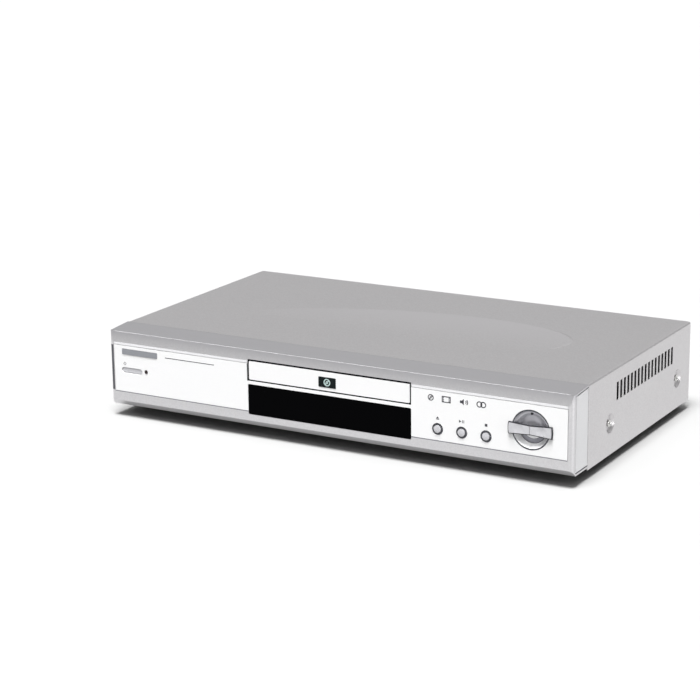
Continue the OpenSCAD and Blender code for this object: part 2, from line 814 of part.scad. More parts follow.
module power_heat_sink() color("#9ca0a3") translate([heat_sink_xy[0], heat_sink_xy[1], top_z]) {
    r = heat_sink[0] / 2;
    box([-r, 0, 0], [r, heat_sink[1], heat_sink[2]]);
    for (i = [0:8]) let (y = i * (heat_sink[1] - heat_fin[1]) / 8)
        box([r - eps, y, 0], [r + heat_fin[0], y + heat_fin[1], heat_sink[2]]);
    box([-r - 4.5, heat_sink[1] / 2 - 8, 6], [-r + eps, heat_sink[1] / 2 + 3, 22]);
}

module mains_inlet() color("#1f1f22") translate([inlet[0], 0, inlet[1]]) {
    difference() {
        union() {
            y_extrude(rear_in - 13, rear_out + eps) obround(20, 11.8);
            y_extrude(rear_out, rear_out + 1.6) rounded(28, 17, 3);
            box([-8, rear_in - 13, top_z - inlet[1]], [8, rear_in - 1, -4]);
        }
        y_extrude(rear_in - 10, case_d + 5) obround(inlet_gap + 8.4, 8.4);
    }
    for (x = [-1, 1]) along_y([x * inlet_gap / 2, rear_in - 10 - eps, 0], 2.4, 9);
}

module board_screws() color("#c8c8c6") {
    at_main_posts() translate([0, 0, top_z]) screw(7);
    at_supply_posts() translate([0, 0, top_z]) screw(7);
    at_ears() translate([0, 0, frame_z + frame_t]) screw(8);
    for (b = front_boss) translate([b[0], board_y + board_t, b[1]]) rotate([-90, 0, 0]) screw(7);
    both_sides() translate([wall_out + 4, disc_y, wall_top + bridge_t]) screw(8);
}

// Rear sockets

module jack_blocks() color("#1c1c1e") for (b = [[audio_x, 1], [video_x, 1], [component_x, 2]])
    box([b[0] - 7, rear_in - jack_block_d, top_z], [b[0] + 7, rear_in, jack_low + b[1] * jack_pitch + 8]);

module jack_barrels() color("#d8d6cf") at_jacks() difference() {
    union() {
        cylinder(d = rca_d + 0.7, h = sheet);
        cylinder(d = rca_d, h = case_d + jack_reach - rear_in);
    }
    translate([0, 0, -1]) cylinder(d = rca_bore, h = 20);
}

module jack_inserts() color("#d9d9d9") at_jacks() difference() {
    cylinder(d = rca_bore - 0.1, h = case_d + jack_reach - rear_in - 1.2);
    translate([0, 0, 1]) cylinder(d = rca_pin, h = 20);
}

module s_video_socket() color("#1c1c1e") translate([s_video[0], 0, s_video[1]]) difference() {
    union() {
        box([-7, rear_in - jack_block_d, top_z - s_video[1]], [7, rear_in, 7]);
        along_y([0, rear_in - eps, 0], 12, case_d + 1.2 - rear_in);
    }
    difference() {
        along_y([0, rear_in - 6, 0], 9, 20);
        along_y([0, rear_in - 7, -1.2], 2.2, 5);
    }
}

module optical_socket() color("#1c1c1e") translate([optical[0], 0, optical[1]]) difference() {
    union() {
        box([-5.4, rear_in - 14, top_z - optical[1]], [5.4, rear_in, 5.4]);
        box([-5.4, rear_in - 1, -5.4], [5.4, case_d + 0.6, 5.4]);
    }
    translate([0, case_d + 0.6 - optical_deep, 0])
        box([-optical_w / 2, 0, -optical_w / 2], [optical_w / 2, optical_deep + 1, optical_w / 2]);
    along_x([-4.9, shutter_y, shutter_z], hinge_d + 2 * running, 9.8);
}

module optical_shutter() color("#35353a") translate([optical[0], shutter_y, optical[1] + shutter_z]) {
    along_x([-4.7, 0, 0], hinge_d, 9.4);
    box([-3.7, -shutter_t / 2, -6.7], [3.7, shutter_t / 2, 0]);
}

// Disc loader

module loader_frame() color("#2e2f33") difference() {
    union() {
        difference() {
            box([-wall_out, frame_front, frame_z], [wall_out, frame_back, frame_z + frame_t]);
            box([-40, 60, frame_z - 1], [40, 174, frame_z + 5]);
        }
        both_sides() {
            difference() {
                box([wall_in, frame_front, frame_z], [wall_out, frame_back, wall_top]);
                for (y = [62, 100, 138]) box([wall_in - 1, y, 18], [wall_out + 1, y + 28, tray_low - 9]);
            }
            translate([wall_in - 4, frame_front + 2, tray_low - 2.5])
                cube([4 + eps, frame_back - frame_front - 6, 2.5 - slide_gap]);
            for (y = [30, 112]) translate([0, y, tray_top + slide_gap])
                box([wall_in - 3.4, 0, 0], [wall_in + eps, 10, 2]);
            translate([pivot_x + 2.3, pivot_y - 6, frame_z])
                cube([post_t, 12, tray_low - rack_h - slide_gap - frame_z]);
            box([wall_out - eps, disc_y - 5, wall_top - 20], [wall_out + 8, disc_y + 5, wall_top]);
            box([40, cam_y + cam_t + slide_gap, frame_z], [46, cam_y + cam_t + slide_gap + 2, cam_low + 6]);
            for (y = ear_y) box([wall_out - eps, y - 5, frame_z], [ear_x + 5, y + 5, frame_z + frame_t]);
        }
        box([-wall_in, frame_back - 2.3, frame_z], [wall_in, frame_back, tray_low - 6]);
        box([-wall_in, cam_y - slide_gap - 2, frame_z], [wall_in, cam_y - slide_gap, cam_low + 8]);
        translate([-wall_in, cam_y - slide_gap - eps, frame_z])
            cube([2 * wall_in, cam_t + 2 * slide_gap + eps, cam_low - slide_gap - frame_z]);
        translate([tray_gear_x, train_y, frame_z]) {
            cylinder(d = shaft_d, h = tray_low - slide_gap - frame_z);
            cylinder(d = 8, h = wheel_low - slide_gap - frame_z);
        }
        translate([pulley_x, train_y, frame_z]) {
            cylinder(d = shaft_d, h = wheel_low + wheel_t + 1 - frame_z);
            cylinder(d = 8, h = pulley_low - slide_gap - frame_z);
        }
    }
    at_ears() translate([0, 0, frame_z - 1]) cylinder(d = screw_hole, h = 5);
    both_sides() {
        along_x([pivot_x, pivot_y, pivot_z], pivot_d + 2 * running, 20);
        translate([wall_out + 4, disc_y, wall_top - 10]) cylinder(d = screw_hole, h = 11);
    }
    translate([wall_in - 1, loader_link_y[0] - 1, frame_z + frame_t])
        cube([wall_t + 2, loader_link_y[1] - loader_link_y[0] + 2, 9 - frame_t]);
}

module tray_plan(inset) {
    translate([0, (tray_front + tray_back) / 2])
        rounded(tray_w - 2 * inset, tray_back - tray_front - 2 * inset, 3);
}

module disc_tray() color("#3a3b40") {
    difference() {
        translate([0, 0, tray_low]) linear_extrude(tray_top - tray_low) tray_plan(0);
        translate([0, disc_y, disc_floor]) cylinder(d = disc_d + 1.2, h = 10, $fn = 96);
        translate([0, disc_y, small_floor]) cylinder(d = small_disc_d + 1.2, h = 10, $fn = 96);
        for (x = [-1, 1]) translate([x * 63, disc_y, disc_floor]) cylinder(d = 20, h = 10);
        translate([0, 0, tray_low - 1]) linear_extrude(20) {
            translate([-slot_hw, slot_front + 10]) square([2 * slot_hw, slot_back - slot_front - 10]);
            translate([-slot_hw + 10, slot_front]) square([2 * slot_hw - 20, 20]);
            for (x = [-1, 1]) translate([x * (slot_hw - 10), slot_front + 10]) circle(10);
        }
        box([-40, slot_back - 6, tray_low - 1], [40, tray_back + 1, disc_floor]);
        translate([0, 0, tray_low - 1]) linear_extrude(5.5) difference() {
            tray_plan(3);
            translate([0, disc_y]) circle(d = disc_d + 9, $fn = 96);
            translate([-43, 0]) square([97, 200]);
            for (y = [150, 168]) translate([-70, y]) square([140, 2]);
        }
    }
    translate([rack_x, train_y - 2 * rack_pitch, tray_low - rack_h]) rotate(90)
        linear_extrude(rack_h + eps) rack(rack_teeth, gear_module, backlash, 4);
}

module clamp_bridge() color("#b5b7b8") translate([0, disc_y, wall_top]) {
    difference() {
        linear_extrude(bridge_t) {
            rounded(2 * (wall_out + 8), 18, 3);
            circle(d = 46);
        }
        translate([0, 0, -1]) cylinder(d = bridge_hole, h = 5);
        for (x = [-1, 1]) translate([x * (wall_out + 4), 0, -1]) cylinder(d = screw_hole, h = 5);
    }
    both_sides() for (y = [-8, 6.6]) box([22, y, bridge_t - eps], [62, y + 1.4, bridge_t + 2]);
}

module clamper() color("#e2e2df") translate([0, disc_y, 0]) {
    face = tray_top + 0.6;
    brim = wall_top + bridge_t + 0.2;
    rotate_extrude() polygon([
        [0, face + 3.2], [8, face + 3.2], [8, face], [11, face], [11.4, brim], [15, brim], [15, brim + 1.4],
        [13, brim + 2], [0, brim + 2]
    ]);
}

module loading_motor() color("#b9bbbd") translate([motor_x, train_y, motor_low]) difference() {
    union() {
        cylinder(d = 22, h = motor_h);
        cylinder(d = 6, h = motor_h + 0.8);
    }
    translate([0, 0, 2]) cylinder(d = motor_shaft_d + 2 * running, h = 20);
}

// Grooved pulley round the belt's plane, with its centre on the axis
module pulley(belt_r, low, high) {
    groove = belt_r - belt_w / 2 - belt_gap;
    rim = belt_r + 1;
    rotate_extrude() polygon([
        [0, low], [rim, low], [rim, belt_z - 1.5], [groove, belt_z - 1.1], [groove, belt_z + 1.1],
        [rim, belt_z + 1.5], [rim, high], [0, high]
    ]);
}

module motor_pulley() color("#d9d9d6") translate([motor_x, train_y, 0]) {
    pulley(motor_belt_r, belt_z - 2.2, belt_z + 2.2);
    translate([0, 0, motor_low + 2.4]) cylinder(d = motor_shaft_d, h = belt_z + 3 - motor_low - 2.4);
}

module belt_outline(r) {
    hull() {
        translate([pulley_x, train_y]) circle(pulley_belt_r + r);
        translate([motor_x, train_y]) circle(motor_belt_r + r);
    }
}

module drive_belt() color("#18181a") translate([0, 0, belt_z - belt_w / 2])
    linear_extrude(belt_w) difference() {
        belt_outline(belt_w / 2);
        belt_outline(-belt_w / 2);
    }

module pulley_gear() color("#e6e4dc") translate([pulley_x, train_y, 0]) difference() {
    union() {
        pulley(pulley_belt_r, pulley_low, pulley_low + pulley_t);
        translate([0, 0, pulley_low + pulley_t - eps]) rotate(180 / pinion_teeth)
            linear_extrude(wheel_low + wheel_t + 0.5 - pulley_low - pulley_t)
                gear(pinion_teeth, gear_module, backlash);
    }
    translate([0, 0, pulley_low - 1]) cylinder(d = shaft_d + 2 * running, h = 40);
}

module tray_gear() color("#e6e4dc") translate([tray_gear_x, train_y, 0]) difference() {
    union() {
        translate([0, 0, wheel_low]) rotate(180) linear_extrude(wheel_t)
            gear(wheel_teeth, gear_module, backlash);
        translate([0, 0, wheel_low]) cylinder(r = pinion_r - 1.2, h = pinion_low - wheel_low + 1);
        translate([0, 0, pinion_low]) linear_extrude(pinion_t) gear(pinion_teeth, gear_module, backlash);
    }
    translate([0, 0, wheel_low - 1]) cylinder(d = shaft_d + 2 * running, h = 40);
    for (a = [30:60:330]) rotate(a) translate([9.6, 0, wheel_low - 1]) cylinder(d = 4.6, h = 10);
}

module cam_slide() color("#dedcd2") y_extrude(cam_y, cam_y + cam_t) difference() {
    translate([-36, cam_low]) square([64, cam_high - cam_low]);
    hull() {
        translate([0, pivot_z - cam_rise]) circle(d = cam_pin_d + 2 * slide_gap, $fn = 32);
        translate([-cam_travel, pivot_z]) circle(d = cam_pin_d + 2 * slide_gap, $fn = 32);
    }
    translate([8, cam_low + 4]) square([14, 10]);
}

// Traverse and what it carries

module traverse() color("#8f9396") lowered() {
    difference() {
        union() {
            translate([0, 0, deck]) linear_extrude(deck_t) {
                translate([-deck_hw, deck_front]) square([2 * deck_hw, deck_back - deck_front]);
                translate([20, feed_y - 12]) square([feed_motor_x - 9.4, 24]);
            }
            both_sides() {
                box([30, deck_back - 8, deck - 1.5], [pivot_x, pivot_y + 4, deck + 3.5]);
                for (y = [[60, 104], [134, 168]])
                    box([deck_hw - 1.5, y[0], deck - 4], [deck_hw, y[1], deck + eps]);
                for (y = rod_ends) box([rod_x - 3.5, y - 2, rod_z - 2.5], [rod_x + 3.5, y + 2, deck + eps]);
            }
        }
        translate([-29, rod_ends[0] + 3, deck - 1]) cube([58, rod_ends[1] - rod_ends[0] - 6, 5]);
        translate([0, disc_y, deck - 1]) cylinder(d = 7, h = 5);
        both_sides() along_y([rod_x, 0, rod_z], rod_d + 0.04, 200);
    }
    along_y([0, cam_y + 0.2, pivot_z], cam_pin_d, deck_front - cam_y);
    both_sides() along_x([pivot_x - eps, pivot_y, pivot_z], pivot_d, post_t + 2);
    translate([feed_x, feed_y, deck - 15]) cylinder(d = feed_shaft_d, h = 15 + eps);
}

module spindle_motor() color("#b9bbbd") lowered() translate([0, disc_y, deck - spindle_h]) difference() {
    cylinder(d = spindle_d, h = spindle_h);
    translate([0, 0, 0.6]) cylinder(d = motor_shaft_d + 2 * running, h = 20);
}

module turntable() color("#2a2a2d") lowered() translate([0, disc_y, 0]) rotate_extrude() polygon([
    [0, deck - 9], [motor_shaft_d / 2, deck - 9], [motor_shaft_d / 2, deck + 3], [5, deck + 3],
    [5, seat_z - 1.6], [15, seat_z - 1.6], [15, seat_z], [7.4, seat_z], [6.8, seat_z + 1.8],
    [5.8, seat_z + 2.4], [0, seat_z + 2.4]
]);

module guide_rods() color("#d4d6d8") lowered() both_sides()
    along_y([rod_x, rod_ends[0] - 2, rod_z], rod_d, rod_ends[1] - rod_ends[0] + 4);

module pickup() color("#7d8184") lowered() {
    difference() {
        union() {
            box([-sled_hw, sled_front, sled_low], [sled_hw, sled_back, sled_top - 4]);
            box([-sled_hw + 4, sled_front + 1, sled_top - 5], [sled_hw - 4, sled_back - 5, sled_top]);
        }
        translate([0, lens_y, sled_top - 2]) cylinder(d = 10.4, h = 5);
        both_sides() along_y([rod_x, 0, rod_z], rod_d + 2 * running, 200);
    }
    pitch = PI * feed_module;
    translate([feed_rack_x, feed_y + 2 * pitch, sled_low + 0.5]) rotate(-90) linear_extrude(3.5)
        rack(ceil((pickup_travel + 8) / pitch), feed_module, feed_backlash, feed_rack_x - sled_hw + eps);
}

module objective_lens() color("#3a4a66") lowered() translate([0, lens_y, sled_top]) rotate_extrude() polygon([
    [0, -1.6], [4.4, -1.6], [4.4, 0.4], [3.2, 0.6], [3.2, 3.2], [2.2, 3.6], [0, 3.9]
]);

module feed_motor() color("#b9bbbd") lowered() translate([feed_motor_x, feed_y, deck - 10]) difference() {
    cylinder(d = feed_motor_d, h = 10);
    translate([0, 0, -1]) cylinder(d = 1.5 + 2 * running, h = 10);
}

module feed_gear() color("#e6e4dc") lowered() translate([feed_x, feed_y, 0]) difference() {
    union() {
        translate([0, 0, deck - 14]) linear_extrude(2.5) gear(feed_wheel_teeth, feed_module, feed_backlash);
        translate([0, 0, deck - 14]) cylinder(r = feed_r - 0.9, h = 10);
        translate([0, 0, sled_low + 0.5]) rotate(180) linear_extrude(3.5)
            gear(feed_rack_teeth, feed_module, feed_backlash);
    }
    translate([0, 0, deck - 16]) cylinder(d = feed_shaft_d + 2 * running, h = 40);
}

module feed_pinion() color("#c9a24c") lowered() translate([feed_motor_x, feed_y, deck - 14.5]) {
    rotate(180 / feed_pinion_teeth) linear_extrude(3.5) gear(feed_pinion_teeth, feed_module, feed_backlash);
    cylinder(d = 1.5, h = 12.5);
}

// Moves the case's own frame to the floor below its middle
module place() {
    translate([0, front_y, foot_h]) children();
}

place() top_cover();
place() bottom_chassis();
place() rear_panel();
place() feet();
place() cover_screws();
place() front_bezel();
place() end_caps();
place() fascia_plate();
place() display_window();
place() tray_door();
place() power_button();
place() standby_lens();
place() open_button();
place() play_button();
place() stop_button();
place() skip_dish();
place() skip_back_key();
place() skip_forward_key();
place() front_board();
place() display_tube();
place() tact_switches();
place() main_board();
place() decoder_chips();
place() chip_heat_sink();
place() capacitors();
place() board_connectors();
place() front_ribbon();
place() loader_ribbon();
place() power_harness();
place() power_board();
place() transformer();
place() power_heat_sink();
place() mains_inlet();
place() board_screws();
place() jack_blocks();
place() jack_barrels();
place() jack_inserts();
place() s_video_socket();
place() optical_socket();
place() optical_shutter();
place() loader_frame();
place() disc_tray();
place() clamp_bridge();
place() clamper();
place() loading_motor();
place() motor_pulley();
place() drive_belt();
place() pulley_gear();
place() tray_gear();
place() cam_slide();
place() traverse();
place() spindle_motor();
place() turntable();
place() guide_rods();
place() pickup();
place() objective_lens();
place() feed_motor();
place() feed_gear();
place() feed_pinion();
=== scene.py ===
"""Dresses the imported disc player: finishes, printed signs, trim and a plain studio.

Sizes in the classes are millimetres in the case's own frame: x to the right, y back from the
face of the front panel, z up from the underside of the case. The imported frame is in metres.
"""

import logging
import math
from dataclasses import dataclass, field
from enum import Enum
from typing import Any, Optional, Sequence, Union

import bmesh
import bpy
from mathutils import Matrix, Vector


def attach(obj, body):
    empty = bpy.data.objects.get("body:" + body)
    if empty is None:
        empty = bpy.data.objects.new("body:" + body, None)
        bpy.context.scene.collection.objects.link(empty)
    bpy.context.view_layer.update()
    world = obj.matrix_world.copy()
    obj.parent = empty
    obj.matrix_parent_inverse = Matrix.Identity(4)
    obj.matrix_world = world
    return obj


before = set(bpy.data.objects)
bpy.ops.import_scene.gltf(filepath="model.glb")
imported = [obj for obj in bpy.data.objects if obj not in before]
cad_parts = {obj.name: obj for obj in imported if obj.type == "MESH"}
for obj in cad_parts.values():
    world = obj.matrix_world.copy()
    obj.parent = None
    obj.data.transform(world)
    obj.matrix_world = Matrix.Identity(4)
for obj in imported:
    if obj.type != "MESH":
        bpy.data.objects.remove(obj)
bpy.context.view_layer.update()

LOG = logging.getLogger("disc_player")
MM = 0.001
# Where the zero of the case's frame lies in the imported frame, in millimetres
FACE_Y = -126.0
CASE_Z = 8.0
# Height of ink and thin strips, how deep they are bedded in, and the rounding of a strip's edges
INK_MM = 0.06
SUNK_MM = 0.02
ROUND_MM = 0.04
FULL_TURN = 2.0 * math.pi
# Radians by which the wave texture advances over one unit at scale 1
WAVE_RATE = 20.0
# Values between which most of a noise texture lies
NOISE_LOW = 0.3
NOISE_HIGH = 0.7
# Width of patches of even gloss, as a share of the width of patches of even colour
GLOSS_PATCH = 0.4
# Degrees of a printed arc that one straight stretch takes, and the fewest stretches of an arc
ARC_STEP = 9.0
ARC_LEAST = 6
# Points closer than this, in metres, count as one
SAME_PLACE = 1e-7

Point2 = tuple[float, float]
Point3 = tuple[float, float, float]
Edges = tuple[float, float, float, float]
Socket = bpy.types.NodeSocket
Key = Union[str, int]

RIGHT: Point3 = (1.0, 0.0, 0.0)
LEFT: Point3 = (-1.0, 0.0, 0.0)
FORWARD: Point3 = (0.0, -1.0, 0.0)
BACKWARD: Point3 = (0.0, 1.0, 0.0)
UP: Point3 = (0.0, 0.0, 1.0)
DOWN: Point3 = (0.0, 0.0, -1.0)
# Directions of a panel's print, seen from in front of it
FRONT = {"right": RIGHT, "up": UP}
REAR = {"right": LEFT, "up": UP}


def linear(hex_colour: str) -> tuple[float, float, float, float]:
    """Turns an sRGB hex colour into linear light.

    Args:
        hex_colour: Colour as six hex digits after a hash sign.

    Returns:
        Linear red, green and blue, with full opacity.
    """
    parts = [int(hex_colour[i:i + 2], 16) / 255.0 for i in (1, 3, 5)]
    light = [c / 12.92 if c <= 0.04045 else ((c + 0.055) / 1.055) ** 2.4 for c in parts]
    return light[0], light[1], light[2], 1.0


def add_node(
    tree: bpy.types.NodeTree,
    kind: str,
    values: Optional[dict[Key, Any]] = None,
    links: Optional[dict[Key, Socket]] = None,
    **settings: Any,
) -> bpy.types.Node:
    """Adds one shader node with its settings, socket values and incoming links.

    Args:
        tree: Node tree that gets the node.
        kind: Blender's type name of the node.
        values: Fixed values by input name or number.
        links: Output sockets to join, by input name or number.
        **settings: Attributes of the node itself.

    Returns:
        The new node.
    """
    node = tree.nodes.new(kind)
    for name, value in settings.items():
        setattr(node, name, value)
    for key, value in (values or {}).items():
        node.inputs[key].default_value = value
    for key, socket in (links or {}).items():
        tree.links.new(socket, node.inputs[key])
    return node


def per_metre(size_mm: float) -> float:
    """Gives the texture scale whose features are about size_mm wide."""
    return 1.0 / (size_mm * MM)


def wave_scale(pitch_mm: float) -> float:
    """Gives the wave texture's scale whose bands repeat every pitch_mm."""
    return per_metre(pitch_mm) * FULL_TURN / WAVE_RATE


def to_row(x: float, y: float, z: float) -> Vector:
    """Moves a point of the case's frame, in millimetres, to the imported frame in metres."""
    return Vector((x, y + FACE_Y, z + CASE_Z)) * MM


@dataclass(frozen=True)
class Finish:
    """A surface with its colour, its gloss and the relief that its making left.

    Attributes:
        name: Real material and how its surface was made.
        colour: Main colour.
        fade: Colour of the faint patches in it.
        patch_mm: Width of those patches.
        rough: Mean roughness.
        rough_spread: How far the roughness strays from its mean.
        grain_mm: Width of the relief's grain.
        grain_deep_mm: Depth of that grain.
        edge_mm: Radius to which edges are broken.
        metallic: Share of bare metal.
        ior: Refractive index of a surface that isn't metal.
        coat: Strength of a clear lacquer.
        coat_rough: Roughness of that lacquer.
        specular: Level of the mirror reflection.
    """

    name: str
    colour: str
    fade: str
    patch_mm: float = 40.0
    rough: float = 0.5
    rough_spread: float = 0.06
    grain_mm: float = 1.0
    grain_deep_mm: float = 0.01
    edge_mm: float = 0.3
    metallic: float = 0.0
    ior: float = 1.5
    coat: float = 0.0
    coat_rough: float = 0.2
    specular: float = 0.5

    def build(self) -> bpy.types.Material:
        """Makes the material.

        Returns:
            The node material of this finish.
        """
        material = bpy.data.materials.new(self.name)
        material.use_nodes = True
        material.diffuse_color = linear(self.colour)
        tree = material.node_tree
        shader = tree.nodes["Principled BSDF"]
        place = add_node(tree, "ShaderNodeTexCoord").outputs["Object"]
        self.set_shader(shader)
        tree.links.new(self.paint(tree, place), shader.inputs["Base Color"])
        tree.links.new(self.gloss(tree, place), shader.inputs["Roughness"])
        tree.links.new(self.relief(tree, place), shader.inputs["Normal"])
        return material

    def set_shader(self, shader: bpy.types.Node) -> None:
        """Sets what is the same all over the surface.

        Args:
            shader: Principled shader of the material.
        """
        shader.inputs["Metallic"].default_value = self.metallic
        if self.metallic < 1.0:
            shader.inputs["IOR"].default_value = self.ior
            shader.inputs["Specular IOR Level"].default_value = self.specular
        shader.inputs["Coat Weight"].default_value = self.coat
        shader.inputs["Coat Roughness"].default_value = self.coat_rough

    def paint(self, tree: bpy.types.NodeTree, place: Socket) -> Socket:
        """Fades the colour in wide, faint patches.

        Args:
            tree: Node tree of the material.
            place: Object coordinates.

        Returns:
            Colour of the surface.
        """
        cloud = add_node(
            tree, "ShaderNodeTexNoise",
            {"Scale": per_metre(self.patch_mm), "Detail": 3.0, "Roughness": 0.55}, {"Vector": place},
        )
        return self.mix(tree, cloud.outputs["Fac"], linear(self.colour), linear(self.fade))

    def gloss(self, tree: bpy.types.NodeTree, place: Socket) -> Socket:
        """Lets the roughness stray a little from its mean, as handling and moulding leave it.

        Args:
            tree: Node tree of the material.
            place: Object coordinates.

        Returns:
            Roughness of the surface.
        """
        cloud = add_node(
            tree, "ShaderNodeTexNoise",
            {"Scale": per_metre(self.patch_mm * GLOSS_PATCH), "Detail": 2.0}, {"Vector": place},
        )
        spread = add_node(
            tree, "ShaderNodeMapRange",
            {"From Min": NOISE_LOW, "From Max": NOISE_HIGH,
             "To Min": self.rough - self.rough_spread, "To Max": self.rough + self.rough_spread},
            {"Value": cloud.outputs["Fac"]},
        )
        return spread.outputs["Result"]

    def relief(self, tree: bpy.types.NodeTree, place: Socket) -> Socket:
        """Breaks the edges and raises the grain.

        Args:
            tree: Node tree of the material.
            place: Object coordinates.

        Returns:
            Normal of the surface.
        """
        grain = add_node(
            tree, "ShaderNodeTexNoise",
            {"Scale": per_metre(self.grain_mm), "Detail": 2.0, "Roughness": 0.5}, {"Vector": place},
        )
        return self.bump(tree, grain.outputs["Fac"])

    def bump(self, tree: bpy.types.NodeTree, height: Socket) -> Socket:
        """Turns a height into a normal, over edges broken to a small radius.

        Args:
            tree: Node tree of the material.
            height: Height from 0 to 1.

        Returns:
            Normal of the surface.
        """
        edge = add_node(tree, "ShaderNodeBevel", {"Radius": self.edge_mm * MM}, samples=4)
        bump = add_node(
            tree, "ShaderNodeBump", {"Strength": 1.0, "Distance": self.grain_deep_mm * MM},
            {"Height": height, "Normal": edge.outputs["Normal"]},
        )
        return bump.outputs["Normal"]

    @staticmethod
    def mix(
        tree: bpy.types.NodeTree,
        share: Socket,
        first: Union[Socket, Sequence[float]],
        second: Union[Socket, Sequence[float]],
    ) -> Socket:
        """Mixes two colours by a share.

        Args:
            tree: Node tree of the material.
            share: Share of the second colour.
            first: First colour, fixed or from a socket.
            second: Second colour, fixed or from a socket.

        Returns:
            Mixed colour.
        """
        values: dict[Key, Any] = {}
        links: dict[Key, Socket] = {0: share}
        for key, colour in ((6, first), (7, second)):
            if isinstance(colour, bpy.types.NodeSocket):
                links[key] = colour
            else:
                values[key] = colour
        node = add_node(tree, "ShaderNodeMix", values, links, data_type="RGBA")
        return node.outputs[2]


@dataclass(frozen=True)
class SprayedPaint(Finish):
    """Metallic paint, sprayed and baked: fine bright flakes under a soft orange-peel skin.

    Attributes:
        flake_mm: Width of a flake, drawn coarser than the real one so that it shows.
        flake: Colour of a flake that catches the light.
        flake_share: Share of the flakes' colour in the paint.
    """

    flake_mm: float = 0.9
    flake: str = "#ffffff"
    flake_share: float = 0.12

    def paint(self, tree: bpy.types.NodeTree, place: Socket) -> Socket:
        """Strews flakes over the patches; see Finish.paint."""
        base = super().paint(tree, place)
        cells = add_node(
            tree, "ShaderNodeTexVoronoi", {"Scale": per_metre(self.flake_mm)}, {"Vector": place},
        )
        lone = add_node(
            tree, "ShaderNodeSeparateColor", links={"Color": cells.outputs["Color"]},
        )
        share = add_node(
            tree, "ShaderNodeMath", {1: self.flake_share}, {0: lone.outputs["Red"]}, operation="MULTIPLY",
        )
        return self.mix(tree, share.outputs[0], base, linear(self.flake))


@dataclass(frozen=True)
class HeightShadedPaint(SprayedPaint):
    """Paint on a formed body with painted light and shade: its tone changes with the height, paler or darker
    as its crown would catch or lose the light.

    Attributes:
        rise_mm: Heights above the floor between which the painted tone changes.
        painted_crown: Colour of the paint above them, a painted highlight where it is paler and painted shade
            where it is darker.
    """

    rise_mm: tuple[float, float] = (0.0, 1.0)
    painted_crown: str = "#ffffff"

    def paint(self, tree: bpy.types.NodeTree, place: Socket) -> Socket:
        """Paints light and shade that change with the height; see SprayedPaint.paint."""
        base = super().paint(tree, place)
        axes = add_node(tree, "ShaderNodeSeparateXYZ", links={"Vector": place})
        low, high = self.rise_mm
        rise = add_node(
            tree, "ShaderNodeMapRange", {"From Min": low * MM, "From Max": high * MM},
            {"Value": axes.outputs["Z"]}, interpolation_type="SMOOTHSTEP",
        )
        return self.mix(tree, rise.outputs["Result"], base, linear(self.painted_crown))


@dataclass(frozen=True)
class RolledSteel(Finish):
    """Zinc-plated or rolled metal sheet: flat crystals, each a little lighter or darker.

    Attributes:
        spangle_mm: Width of a crystal.
    """

    metallic: float = 1.0
    spangle_mm: float = 5.0

    def paint(self, tree: bpy.types.NodeTree, place: Socket) -> Socket:
        """Gives each crystal its own shade; see Finish.paint."""
        cells = add_node(
            tree, "ShaderNodeTexVoronoi", {"Scale": per_metre(self.spangle_mm)}, {"Vector": place},
        )
        lone = add_node(
            tree, "ShaderNodeSeparateColor", links={"Color": cells.outputs["Color"]},
        )
        return self.mix(tree, lone.outputs["Green"], linear(self.colour), linear(self.fade))


@dataclass(frozen=True)
class TurnedMetal(Finish):
    """Turned, drawn or brushed metal: fine streaks along one direction.

    Attributes:
        stretch: Scale of the streaks along x, y and z; a small one draws them out.
    """

    metallic: float = 1.0
    stretch: Point3 = (1.0, 1.0, 0.04)

    def relief(self, tree: bpy.types.NodeTree, place: Socket) -> Socket:
        """Draws the grain out into streaks; see Finish.relief."""
        drawn = add_node(
            tree, "ShaderNodeMapping", {"Scale": self.stretch}, {"Vector": place},
        )
        return super().relief(tree, drawn.outputs["Vector"])


@dataclass(frozen=True)
class ClearPlastic(Finish):
    """Cast acrylic or glass that lets light through its tint.

    Attributes:
        through: Share of the light that passes.
    """

    through: float = 0.0

    def set_shader(self, shader: bpy.types.Node) -> None:
        """Sets the transmission as well; see Finish.set_shader."""
        super().set_shader(shader)
        shader.inputs["Transmission Weight"].default_value = self.through


@dataclass(frozen=True)
class CircuitBoard(Finish):
    """Lacquered circuit board: copper tracks show as paler bands that run in two directions.

    Attributes:
        track: Colour of a track under the lacquer.
        track_mm: Pitch of the tracks, drawn coarser than real ones so that they show.
        track_edge: Height of the wave above which it is track.
        region_mm: Width of a field whose tracks run one way.
    """

    track: str = "#336139"
    track_mm: float = 3.77
    track_edge: float = 0.72
    region_mm: float = 9.0

    def paint(self, tree: bpy.types.NodeTree, place: Socket) -> Socket:
        """Lays the tracks in fields over the lacquer; see Finish.paint."""
        base = super().paint(tree, place)
        bands = []
        for direction in ("X", "Y"):
            wave = add_node(
                tree, "ShaderNodeTexWave",
                {"Scale": wave_scale(self.track_mm), "Distortion": 0.0},
                {"Vector": place}, bands_direction=direction,
            )
            step = add_node(
                tree, "ShaderNodeMath", {1: self.track_edge}, {0: wave.outputs["Fac"]},
                operation="GREATER_THAN",
            )
            bands.append(step.outputs[0])
        cells = add_node(
            tree, "ShaderNodeTexVoronoi", {"Scale": per_metre(self.region_mm)}, {"Vector": place},
            distance="CHEBYCHEV",
        )
        lone = add_node(
            tree, "ShaderNodeSeparateColor", links={"Color": cells.outputs["Color"]},
        )
        way = add_node(
            tree, "ShaderNodeMath", {1: 0.5}, {0: lone.outputs["Red"]}, operation="GREATER_THAN",
        )
        laid = add_node(
            tree, "ShaderNodeMix", links={0: way.outputs[0], 2: bands[0], 3: bands[1]}, data_type="FLOAT",
        )
        return self.mix(tree, laid.outputs[0], base, linear(self.track))


